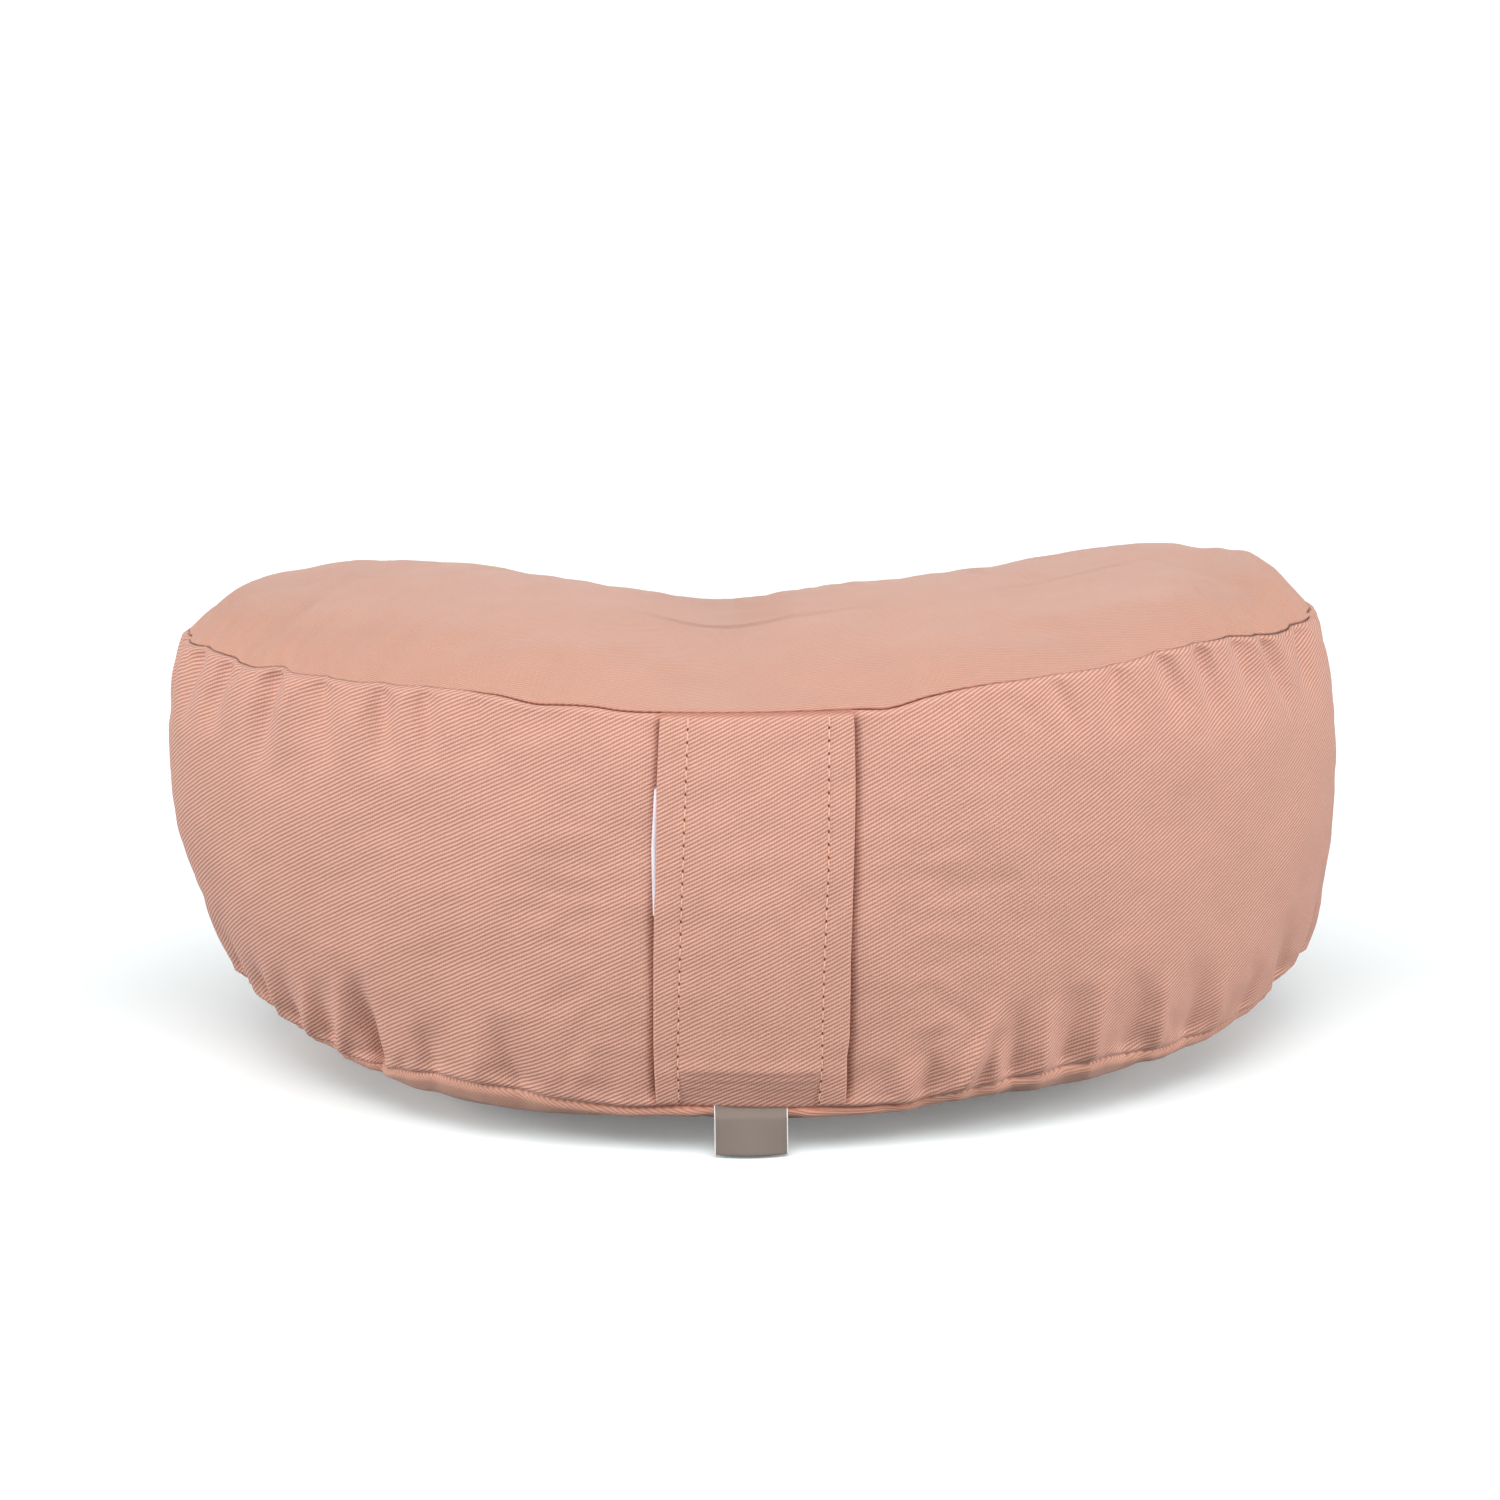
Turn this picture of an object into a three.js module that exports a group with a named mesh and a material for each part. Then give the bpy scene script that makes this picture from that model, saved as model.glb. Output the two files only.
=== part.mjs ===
// A crescent floor cushion standing on its base: one filled body with a crowned top panel, a bulging
// side band and a base panel, a flat carrying strap sewn over the front, a folded tag hanging from the
// base seam and a care label tucked behind the strap. Millimetres, +Z up. The strap faces -Y, the
// hollow of the crescent faces +Y, and the origin is on the floor under the middle of the whole thing.
import * as THREE from "three";

// Outline of the seams seen from above: on each side three arcs, each tangent to the next
const frontRadius = 224; // the long outer curve
const hornRadius = 64; // the round ends
const hornSpread = 145; // from the middle to the centre of a horn
const bayRadius = 149; // the hollow at the back

// Heights of the two seams, and what pulls them off level
const topSeamHeight = 166;
const baseSeamHeight = 18;
const strapPull = { drop: 5, from: 75, to: 35 }; // the strap drags the top seam down
const endsStart = 0.4; // share of the half width where the ends start to draw in

// Fullness of the middle and of each end: how far the top seam dips, how far the base seam lifts and
// lies inside the top one, and how far the band bulges past its seams
const middle = { topDip: 0, baseLift: 0, baseInset: -4, bulge: 8 };
const leftEnd = { topDip: 9, baseLift: 14.5, baseInset: 14.5, bulge: 12.5 };
const rightEnd = { topDip: 3.5, baseLift: 8, baseInset: 4, bulge: 10.5 };
const bulgePower = 0.65; // below 1 the band turns sharply at its seams
const seamSink = 1.2; // the stitched corner lies this deep between the two panels

// The seams wander as sewn: rise is in millimetres, along is measured on the seam from the middle of
// the front, positive to the right, and meets itself in the middle of the bay
const topWander = [
  { along: -545, rise: -1.6 },
  { along: -530, rise: -2.2 },
  { along: -480, rise: 0 },
  { along: -240, rise: 0 },
  { along: -150, rise: 0 },
  { along: -115, rise: 0.7 },
  { along: -98, rise: 0 },
  { along: -78, rise: -3.5 },
  { along: -53, rise: -1.2 },
  { along: -34, rise: 0 },
  { along: 35, rise: 0 },
  { along: 50, rise: -1.6 },
  { along: 72, rise: -0.9 },
  { along: 90, rise: 0.7 },
  { along: 130, rise: 1.3 },
  { along: 185, rise: 2.4 },
  { along: 240, rise: 0 },
  { along: 470, rise: 0.5 },
  { along: 512, rise: 0.8 },
  { along: 545, rise: -1.6 },
];
const baseWander = [
  { along: -240, rise: 0 },
  { along: -190, rise: -1.5 },
  { along: -146, rise: -3.6 },
  { along: -120, rise: 0.8 },
  { along: -94, rise: 2.4 },
  { along: -70, rise: 0.2 },
  { along: -50, rise: -0.8 },
  { along: -30, rise: 0 },
  { along: 15, rise: -1 },
  { along: 50, rise: -1.4 },
  { along: 75, rise: 1.1 },
  { along: 92, rise: 1.6 },
  { along: 117, rise: 0.3 },
  { along: 142, rise: -2.6 },
  { along: 190, rise: -1 },
  { along: 240, rise: 0 },
];

// The two panels between the seams and the ridge that follows the middle of the crescent
const crown = { middle: 11.5, horns: 14.5, power: 3 };
const valley = { at: -11, width: 26, depth: 6 }; // the top sags where the crescent is narrowest
const flatFrom = 0.75; // share of the way to the ridge where the base lies flat on the floor
const bellies = [
  { at: -97, width: 32, share: 0.22 }, // here the base hangs down steeper and lies flat sooner
  { at: 62, width: 45, share: -0.14 }, // and here later
];

// The carrying strap and what lies behind it
const strapWidth = 69;
const strapThickness = 1.4;
const hemWidth = 8.6; // the edges are turned under and stitched down
const hemThickness = 2.2;
const strapProud = 4.2; // from the pressed-in band to the strap's face
const strapRecess = { depth: 4.6, shoulder: 14, run: 0.1 }; // the band is pressed in behind the strap
const strapEnds = 0.006; // share of the band's height left at each seam
const touchGap = 0.35; // between pieces that lie on each other
const label = { left: -35.9, right: -6, low: 0.5, high: 0.84, thickness: 1, bow: 1.6, behind: 0.55 };
const tag = { width: 26.5, drop: 16.2, layer: 0.6, fold: 0.5, bow: 2.5, at: -1.5 };

// Gathers that the thread pulls into the band: lean is how far a gather drifts sideways over its reach
const gathers = [
  { seam: "top", along: -225, lean: -5, reach: 28, width: 6, depth: 3 },
  { seam: "top", along: -197, lean: 6, reach: 46, width: 7, depth: 5.5 },
  { seam: "top", along: -171, lean: -4, reach: 32, width: 6, depth: 3 },
  { seam: "top", along: -145, lean: 3, reach: 36, width: 6, depth: 3.2 },
  { seam: "top", along: -126, lean: 9, reach: 38, width: 6, depth: 2.4 },
  { seam: "top", along: -110, lean: 24, reach: 44, width: 8, depth: 1.8 },
  { seam: "top", along: 158, lean: 9, reach: 30, width: 6, depth: 2.4 },
  { seam: "top", along: 177, lean: 6, reach: 34, width: 6, depth: 2.6 },
  { seam: "top", along: 198, lean: 7, reach: 36, width: 6, depth: 2.6 },
  { seam: "top", along: 219, lean: 12, reach: 42, width: 7, depth: 3.2 },
  { seam: "base", along: -147, lean: -10, reach: 48, width: 7, depth: 6 },
  { seam: "base", along: -186, lean: 8, reach: 40, width: 7, depth: 4.5 },
  { seam: "base", along: -210, lean: 2, reach: 30, width: 7, depth: 4 },
  { seam: "base", along: -240, lean: 0, reach: 30, width: 7, depth: 4 },
  { seam: "base", along: -127, lean: 0, reach: 30, width: 6, depth: 2 },
  { seam: "base", along: -84, lean: -8, reach: 34, width: 7, depth: 1.8 },
  { seam: "base", along: 76, lean: 8, reach: 34, width: 6, depth: 2.6 },
  { seam: "base", along: 112, lean: 10, reach: 42, width: 7, depth: 3.4 },
  { seam: "base", along: 145, lean: 4, reach: 38, width: 7, depth: 3 },
  { seam: "base", along: 175, lean: 4, reach: 40, width: 7, depth: 3.2 },
  { seam: "base", along: 208, lean: 6, reach: 30, width: 7, depth: 2.6 },
  { seam: "top", along: -262, lean: 4, reach: 34, width: 7, depth: 3.4 },
  { seam: "top", along: -301, lean: -5, reach: 30, width: 7, depth: 3.2 },
  { seam: "top", along: -344, lean: 3, reach: 36, width: 7, depth: 3.6 },
  { seam: "top", along: -392, lean: 6, reach: 30, width: 7, depth: 2.8 },
  { seam: "top", along: 256, lean: -4, reach: 32, width: 7, depth: 3 },
  { seam: "top", along: 293, lean: 5, reach: 36, width: 7, depth: 3.4 },
  { seam: "top", along: 338, lean: -3, reach: 34, width: 7, depth: 3 },
  { seam: "top", along: 385, lean: -6, reach: 32, width: 7, depth: 3.2 },
  { seam: "base", along: -278, lean: 5, reach: 36, width: 7, depth: 3.6 },
  { seam: "base", along: -322, lean: -4, reach: 32, width: 7, depth: 3.4 },
  { seam: "base", along: -370, lean: 3, reach: 34, width: 7, depth: 3.2 },
  { seam: "base", along: 248, lean: -3, reach: 34, width: 7, depth: 3 },
  { seam: "base", along: 285, lean: 4, reach: 36, width: 7, depth: 3.4 },
  { seam: "base", along: 330, lean: -5, reach: 32, width: 7, depth: 3.2 },
  { seam: "base", along: 378, lean: 3, reach: 34, width: 7, depth: 3 },
];
const gatherStart = 7; // a gather reaches its full depth this far from the seam

// How finely the surfaces are divided
const steps = { strap: 7, front: 40, horn: 34, bay: 18 };
const bandRows = [0, 0.02, 0.06, 0.1, 0.17, 0.27, 0.38, 0.5, 0.62, 0.74, 0.83, 0.9, 0.95, 0.98, 1];
const topRows = [0.03, 0.09, 0.18, 0.31, 0.48, 0.66, 0.85];
const baseRows = [0.08, 0.22, 0.42, 0.68, 1]; // shares of the way to the flat
const tagSteps = 8;
const labelSteps = { across: 5, up: 6 };

// Finishes
const cloth = { color: 0xdda893, roughness: 0.92, metalness: 0 };
const tagRibbon = { color: 0x8c8078, roughness: 0.8, metalness: 0 };
const labelSatin = { color: 0xe6e2ea, roughness: 0.6, metalness: 0 };

// The three arcs of the right half, from the middle of the front round to the middle of the bay
const hornY = frontRadius - Math.sqrt((frontRadius - hornRadius) ** 2 - hornSpread ** 2);
const bayCentreY = hornY + Math.sqrt((bayRadius + hornRadius) ** 2 - hornSpread ** 2);
const forward = -Math.PI / 2;
const frontTurn = forward + Math.atan2(hornSpread, frontRadius - hornY);
const bayTurn = forward + Math.atan2(hornSpread, bayCentreY - hornY);
const frontArc = new THREE.ArcCurve(0, frontRadius, frontRadius, forward, frontTurn, false);
const hornArc = new THREE.ArcCurve(hornSpread, hornY, hornRadius, frontTurn, bayTurn + Math.PI, false);
const bayArc = new THREE.ArcCurve(0, bayCentreY, bayRadius, bayTurn, forward, true);
const halfWidth = hornSpread + hornRadius;
const ridgeMiddleY = (bayCentreY - bayRadius) / 2;

// A place on the outline: its point, its outward normal and how far along the seam it lies
function makeStation(arc, share, arcStart) {
  const point = arc.getPoint(share);
  const tangent = arc.getTangent(share);
  return {
    point,
    normal: new THREE.Vector2(tangent.y, -tangent.x),
    along: arcStart + share * arc.getLength(),
  };
}

function mirrored(station) {
  return {
    point: new THREE.Vector2(-station.point.x, station.point.y),
    normal: new THREE.Vector2(-station.normal.x, station.normal.y),
    along: -station.along,
  };
}

function rightHalf() {
  const strapShare = strapWidth / 2 / frontArc.getLength();
  const stations = [];
  for (let i = 0; i < steps.strap; i++) {
    stations.push(makeStation(frontArc, (strapShare * i) / steps.strap, 0));
  }
  for (let i = 0; i < steps.front; i++) {
    stations.push(makeStation(frontArc, strapShare + ((1 - strapShare) * i) / steps.front, 0));
  }
  const hornStart = frontArc.getLength();
  for (let i = 0; i < steps.horn; i++) {
    stations.push(makeStation(hornArc, i / steps.horn, hornStart));
  }
  const bayStart = hornStart + hornArc.getLength();
  for (let i = 0; i <= steps.bay; i++) {
    stations.push(makeStation(bayArc, i / steps.bay, bayStart));
  }
  return stations;
}

// A soft local swell: 1 at the middle of the zone, falling away over its width
function bump(x, zone) {
  return Math.exp(-(((x - zone.at) / zone.width) ** 2));
}

function wander(table, along) {
  const next = table.findIndex((place) => place.along >= along);
  if (next < 1) {
    return 0;
  }
  const [from, to] = [table[next - 1], table[next]];
  const share = THREE.MathUtils.smoothstep(along, from.along, to.along);
  return THREE.MathUtils.lerp(from.rise, to.rise, share);
}

// The fullness at a station: the middle's values, blended into the values of its end
function dress(station) {
  const { smoothstep, lerp } = THREE.MathUtils;
  const { point, along } = station;
  const share = smoothstep(Math.abs(point.x), endsStart * halfWidth, halfWidth);
  const end = point.x < 0 ? leftEnd : rightEnd;
  const strapZone = 1 - smoothstep(Math.abs(along), strapPull.to, strapPull.from);
  const ridgeX = THREE.MathUtils.clamp(point.x, -hornSpread, hornSpread);
  const ridgeY = lerp(ridgeMiddleY, hornY, (ridgeX / hornSpread) ** 2);
  const topDip = lerp(middle.topDip, end.topDip, share) + strapPull.drop * strapZone;
  station.topZ = topSeamHeight - topDip + wander(topWander, along);
  station.baseZ = baseSeamHeight + lerp(middle.baseLift, end.baseLift, share) + wander(baseWander, along);
  const fuller = bellies.reduce((sum, belly) => sum + belly.share * bump(point.x, belly), 0);
  station.flat = flatFrom - (point.y < ridgeY ? fuller : 0);
  station.inset = lerp(middle.baseInset, end.baseInset, share);
  station.bulge = lerp(middle.bulge, end.bulge, share);
  station.ridge = new THREE.Vector2(ridgeX, ridgeY);
  station.crown = lerp(crown.middle, crown.horns, smoothstep(Math.abs(ridgeX), 0, hornSpread));
  return station;
}

const half = rightHalf();
const outline = [...half, ...half.slice(1, -1).reverse().map(mirrored)].map(dress);

function gatherDepth(along, fromTop, fromBase) {
  return gathers.reduce((sum, gather) => {
    const distance = gather.seam === "top" ? fromTop : fromBase;
    const share = distance / gather.reach;
    if (share >= 1) {
      return sum;
    }
    const side = (along - gather.along - gather.lean * share) / (gather.width * (1 + share / 2));
    const fade = (1 - share) ** 2 * (1 + 2 * share);
    return sum + gather.depth * Math.exp(-side * side) * fade * Math.min(1, distance / gatherStart);
  }, 0);
}

// How far the band is pressed in behind the strap
function recessAt(along, rise) {
  const { smoothstep } = THREE.MathUtils;
  const reach = strapWidth / 2;
  const across = 1 - smoothstep(Math.abs(along), reach, reach + strapRecess.shoulder);
  const endFade = smoothstep(rise, 0, strapRecess.run) * smoothstep(1 - rise, 0, strapRecess.run);
  return strapRecess.depth * across * endFade;
}

// A point of the side band: rise runs from 0 at the base seam to 1 at the top seam, and out is an
// extra distance along the outward normal
function bandPoint(station, rise, out = 0) {
  const { point, normal, along, topZ, baseZ, inset } = station;
  const bandHeight = topZ - baseZ;
  let offset = -seamSink;
  if (rise > 0 && rise < 1) {
    offset = station.bulge * Math.sin(Math.PI * rise) ** bulgePower;
    offset -= recessAt(along, rise);
    offset -= gatherDepth(along, (1 - rise) * bandHeight, rise * bandHeight);
  }
  const reach = offset + out - inset * (1 - rise);
  return new THREE.Vector3(
    point.x + normal.x * reach,
    point.y + normal.y * reach,
    THREE.MathUtils.lerp(baseZ, topZ, rise),
  );
}

function topPoint(station, share) {
  const plan = station.point.clone().lerp(station.ridge, share);
  const fall = topSeamHeight - station.topZ;
  const swell = (station.crown - valley.depth * bump(plan.x, valley)) * (1 - (1 - share) ** crown.power);
  return new THREE.Vector3(plan.x, plan.y, station.topZ + fall * share + swell);
}

function basePoint(station, share) {
  const { point, normal, inset, ridge, baseZ, flat } = station;
  const plan = point.clone().addScaledVector(normal, -inset).lerp(ridge, share * flat);
  return new THREE.Vector3(plan.x, plan.y, baseZ * (1 - share) ** 2);
}

// Closes a stack of rings into one skin: each ring runs counterclockwise seen from above, and the
// first and last ones are filled in
function closedSkin(rings) {
  const count = rings[0].length;
  const positions = rings.flat().flatMap((point) => point.toArray());
  const index = [];
  for (let row = 0; row < rings.length - 1; row++) {
    for (let i = 0; i < count; i++) {
      const next = (i + 1) % count;
      const low = [row * count + i, row * count + next];
      const high = [(row + 1) * count + i, (row + 1) * count + next];
      index.push(low[0], low[1], high[1], low[0], high[1], high[0]);
    }
  }
  fillRing(rings[0], 0, false, index);
  fillRing(rings.at(-1), (rings.length - 1) * count, true, index);
  return indexedGeometry(positions, index);
}

// Fills a ring by going from its left tip to its right one and joining its two sides across
function fillRing(ring, first, faceUp, index) {
  const count = ring.length;
  const places = ring.map((point) => point.x);
  const leftTip = places.indexOf(Math.min(...places));
  const rightTip = places.indexOf(Math.max(...places));
  let front = leftTip;
  let back = leftTip;
  while (front !== rightTip || back !== rightTip) {
    const nextFront = (front + 1) % count;
    const nextBack = (back - 1 + count) % count;
    const frontFirst = back === rightTip || (front !== rightTip && ring[nextFront].x < ring[nextBack].x);
    const third = frontFirst ? nextFront : nextBack;
    if (front !== back) {
      const corners = faceUp ? [front, third, back] : [back, third, front];
      index.push(...corners.map((corner) => first + corner));
    }
    if (frontFirst) {
      front = nextFront;
    } else {
      back = nextBack;
    }
  }
}

function indexedGeometry(positions, index) {
  const geometry = new THREE.BufferGeometry();
  geometry.setAttribute("position", new THREE.Float32BufferAttribute(positions, 3));
  geometry.setIndex(index);
  geometry.computeVertexNormals();
  return geometry;
}

// A sheet with two faces: front and back are grids of the same size, rows upwards and columns to the
// right as seen from the front, joined round their edges
function sheetGeometry(front, back) {
  const rows = front.length;
  const columns = front[0].length;
  const positions = [...front.flat(), ...back.flat()].flatMap((point) => point.toArray());
  const frontAt = (row, column) => row * columns + column;
  const backAt = (row, column) => rows * columns + frontAt(row, column);
  const index = [];
  const quad = (a, b, c, d) => index.push(a, b, c, a, c, d);
  for (let row = 0; row < rows - 1; row++) {
    for (let column = 0; column < columns - 1; column++) {
      const corners = [
        [row, column],
        [row, column + 1],
        [row + 1, column + 1],
        [row + 1, column],
      ];
      quad(...corners.map((corner) => frontAt(...corner)));
      quad(...corners.map((corner) => backAt(...corner)).reverse());
    }
  }
  for (let row = 0; row < rows - 1; row++) {
    const last = columns - 1;
    quad(frontAt(row, 0), frontAt(row + 1, 0), backAt(row + 1, 0), backAt(row, 0));
    quad(frontAt(row + 1, last), frontAt(row, last), backAt(row, last), backAt(row + 1, last));
  }
  for (let column = 0; column < columns - 1; column++) {
    const last = rows - 1;
    quad(frontAt(0, column + 1), frontAt(0, column), backAt(0, column), backAt(0, column + 1));
    quad(frontAt(last, column), frontAt(last, column + 1), backAt(last, column + 1), backAt(last, column));
  }
  return indexedGeometry(positions, index);
}

function makeMesh(name, geometry, finish) {
  const mesh = new THREE.Mesh(geometry, new THREE.MeshStandardMaterial(finish));
  mesh.name = name;
  return mesh;
}

// The filled body, from the flat of its base out to the base seam, up the band and over the top
function makeCushion() {
  const base = baseRows.map((share) => outline.map((station) => basePoint(station, share)));
  const band = bandRows.map((rise) => outline.map((station) => bandPoint(station, rise)));
  const top = topRows.map((share) => outline.map((station) => topPoint(station, share)));
  return makeMesh("cushion", closedSkin([...base.reverse(), ...band, ...top]), cloth);
}

// Stations of the front between two places on the seam, from left to right
function frontStations(places) {
  return places.map((along) => {
    const station = makeStation(frontArc, Math.abs(along) / frontArc.getLength(), 0);
    return dress(along < 0 ? mirrored(station) : station);
  });
}

// The strap follows the pressed-in band, closes on it at both seams and has thicker hems
function makeStrap() {
  const pitch = strapWidth / 2 / steps.strap;
  const places = [];
  for (let i = -steps.strap; i <= steps.strap; i++) {
    places.push(i * pitch);
  }
  const stations = frontStations(places);
  const rises = [strapEnds, ...bandRows.slice(1, -1), 1 - strapEnds];
  const lift = (rise) => {
    const fromEnd = Math.min(rise, 1 - rise) / strapRecess.run;
    return THREE.MathUtils.lerp(touchGap + hemThickness, strapProud, Math.min(1, fromEnd));
  };
  const thickness = (along) => {
    const inHem = Math.abs(along) > strapWidth / 2 - hemWidth - pitch / 2;
    return inHem ? hemThickness : strapThickness;
  };
  const face = (under) =>
    rises.map((rise) =>
      stations.map((station) => bandPoint(station, rise, lift(rise) - under * thickness(station.along))),
    );
  return makeMesh("handle_strap", sheetGeometry(face(0), face(1)), cloth);
}

// The care label lies between the band and the strap, and only its bowed left edge looks out
function makeLabel() {
  const { lerp } = THREE.MathUtils;
  const rows = [];
  for (let j = 0; j <= labelSteps.up; j++) {
    const share = j / labelSteps.up;
    const left = label.left + label.bow * (2 * share - 1) ** 2;
    const places = [];
    for (let i = 0; i <= labelSteps.across; i++) {
      places.push(lerp(left, label.right, i / labelSteps.across));
    }
    rows.push({ stations: frontStations(places), rise: lerp(label.low, label.high, share) });
  }
  const face = (out) =>
    rows.map(({ stations, rise }) => stations.map((station) => bandPoint(station, rise, out)));
  const back = face(label.behind);
  return makeMesh("care_label", sheetGeometry(face(label.behind + label.thickness), back), labelSatin);
}

// The tag is a ribbon folded in two: its section is a long narrow U, which runs across its width
function makeTag() {
  const { layer, fold, drop, width, bow, at } = tag;
  const outside = layer + fold / 2;
  const inside = fold / 2;
  const profile = new THREE.Shape();
  profile.moveTo(-outside, 0);
  profile.lineTo(-outside, outside - drop);
  profile.absarc(0, outside - drop, outside, Math.PI, 2 * Math.PI, false);
  profile.lineTo(outside, 0);
  profile.lineTo(inside, 0);
  profile.absarc(0, outside - drop, inside, 0, Math.PI, true);
  profile.lineTo(-inside, 0);
  profile.closePath();
  const geometry = new THREE.ExtrudeGeometry(profile, {
    depth: width,
    steps: tagSteps,
    bevelEnabled: false,
    curveSegments: 6,
  });
  geometry.translate(0, 0, -width / 2);
  geometry.rotateX(Math.PI / 2);
  geometry.rotateZ(Math.PI / 2);
  const place = geometry.getAttribute("position");
  for (let i = 0; i < place.count; i++) {
    const lower = -place.getZ(i) / drop;
    const aside = place.getX(i) / (width / 2);
    place.setY(i, place.getY(i) - bow * lower * (1 - aside * aside));
  }
  const mesh = makeMesh("seam_tag", geometry, tagRibbon);
  const [station] = frontStations([at]);
  const seam = bandPoint(station, 0, touchGap + outside);
  mesh.position.set(seam.x, seam.y, seam.z - touchGap);
  return mesh;
}

const model = new THREE.Group();
model.add(makeCushion(), makeStrap(), makeLabel(), makeTag());
const centre = new THREE.Box3().setFromObject(model).getCenter(new THREE.Vector3());
model.position.set(-centre.x, -centre.y, 0);

export default model;
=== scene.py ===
# A crescent floor cushion in salmon-pink cotton twill, with a carrying strap, a bare tag and a care label
import math
import bmesh
import bpy
import numpy as np
from mathutils import Matrix, Vector


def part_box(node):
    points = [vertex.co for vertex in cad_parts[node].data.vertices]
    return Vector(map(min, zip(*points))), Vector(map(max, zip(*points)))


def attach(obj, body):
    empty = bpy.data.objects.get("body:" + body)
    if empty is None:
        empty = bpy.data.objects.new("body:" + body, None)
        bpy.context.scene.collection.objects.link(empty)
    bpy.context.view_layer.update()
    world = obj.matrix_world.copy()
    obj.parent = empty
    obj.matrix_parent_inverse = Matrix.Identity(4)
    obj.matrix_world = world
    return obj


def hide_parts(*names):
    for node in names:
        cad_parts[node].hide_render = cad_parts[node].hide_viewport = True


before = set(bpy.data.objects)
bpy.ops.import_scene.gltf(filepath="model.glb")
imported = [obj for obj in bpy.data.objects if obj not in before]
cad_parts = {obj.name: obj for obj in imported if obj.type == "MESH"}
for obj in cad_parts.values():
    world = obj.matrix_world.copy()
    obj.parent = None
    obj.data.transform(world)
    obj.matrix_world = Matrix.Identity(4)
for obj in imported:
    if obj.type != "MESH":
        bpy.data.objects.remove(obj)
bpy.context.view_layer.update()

mm = 0.001  # sizes below are in millimetres unless a note says otherwise

# Outline of the seams seen from above: three arcs on each side, each tangent to the next
outline = {
    "frontRadius": 224,
    "hornRadius": 64,
    "hornSpread": 145,
    "bayRadius": 149,
}

# Fullness of the filled body
fullness = {
    "topSeamHeight": 166,
    "baseSeamHeight": 18,
    "strapDrop": 5,  # the strap drags the top seam down
    "strapDropFrom": 75,
    "strapDropTo": 35,
    "endsStart": 0.4,  # share of the half width where the ends start to draw in
    "bulgePower": 0.65,  # lower fills the band out squarer
    "seamSink": 1.2,
    "sinkWidth": 1.5,
    "crownMiddle": 11.5,
    "crownHorns": 14.5,
    "crownPower": 3,  # higher rises more steeply from the seam
    "crownPowerEnds": 5,
    "valleyAt": -11,  # the top sags where the crescent is narrowest
    "valleyWidth": 26,
    "valleyDepth": 6,
    "flatFrom": 0.75,  # the underside is quite flat from this share of the way in to the ridge
    "edgeTurn": 34,  # how quickly the base panel turns in under its upright edge
    "pullFade": 9,  # how quickly the gathers die out on the panels
}
# What differs between the middle and the two ends, and is blended from one to the other
middleFull = {"topDip": 0, "baseLift": 0, "baseInset": -4, "bulge": 8, "lowPower": 0.65, "basePower": 1.15}
leftFull = {"topDip": 9, "baseLift": 6, "baseInset": 16, "bulge": 12.5, "lowPower": 0.95, "basePower": 1.1}
rightFull = {"topDip": 3.5, "baseLift": 8, "baseInset": 4, "bulge": 9.8, "lowPower": 0.65, "basePower": 1.1}
# Where the flat of the underside reaches nearer to the front edge, or less near with a share below nothing
bellies = [
    {"at": -97, "width": 32, "share": 0.22},
    {"at": 60, "width": 36, "share": -0.12},
    {"at": 112, "width": 34, "share": 0.1},
]

# How the seams wander as sewn, distance along the seam from the middle of the front: rise
topWander = {
    -545: -1.6, -530: -2.2, -480: 0, -340: 0.2, -282: -1.4, -238: 1.4, -213: 0.1, -197: 1.8, -180: 1.1,
    -155: 0.5, -115: 0.1, -98: -1, -78: -3.5, -53: -1.2, -34: 0, 35: 0, 48: -1.5, 62: -0.5, 90: 0.9,
    130: 1.5, 165: 4, 188: 3.7, 240: -2.2, 288: -4, 345: -0.8, 400: 0, 470: 0.5, 512: 0.8, 545: -1.6,
}
baseWander = {
    -300: 0, -278: 2.6, -262: 4, -250: 2.4, -238: 0, -225: -1.4, -205: -2.8, -180: -3, -160: -4, -150: -3,
    -140: -0.6, -120: 2, -94: 2.4, -70: 0.2, -50: -0.8, -30: 0, 15: -1, 50: -1.4, 75: 1.1, 92: 3, 117: 3,
    130: 2.4, 145: 0, 165: -2.6, 190: -4.2, 215: -3.5, 230: -2.1, 242: 0.6, 260: 3.4, 280: 1.5, 300: 0,
}
# How far the base panel stands upright under its seam before it turns in, distance along the seam: height
baseEdge = {
    -210: 0.6, -165: 1, -152: 2.4, -140: 5.2, -125: 7, -90: 7.4, -70: 5.2, -50: 3.8, 0: 3.8, 35: 2.8,
    55: 1.6, 75: 3.2, 100: 5.4, 130: 6.6, 150: 4.8, 170: 4.2, 190: 2.2, 230: 1.4, 240: 1,
}
# How far the underside hovers over the floor at the two ends, place from left to right: height
baseHover = {-240: 15, -205: 14, -150: 5, -105: 0, 120: 0, 165: 5, 205: 12, 240: 13}
# How the crown's height wanders, place from left to right: rise
crownWander = {
    -212: -3.5, -192: -1.9, -165: -3.6, -145: -3.2, -118: -0.5, -90: 0.6, -35: 0.9, 8: 1.3, 30: 0.3,
    63: 0, 104: -1.8, 140: -2.1, 160: -1.6, 168: -2.2, 178: 0.2, 187: 3.9, 194: 3.8, 204: 0.5,
}

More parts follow.
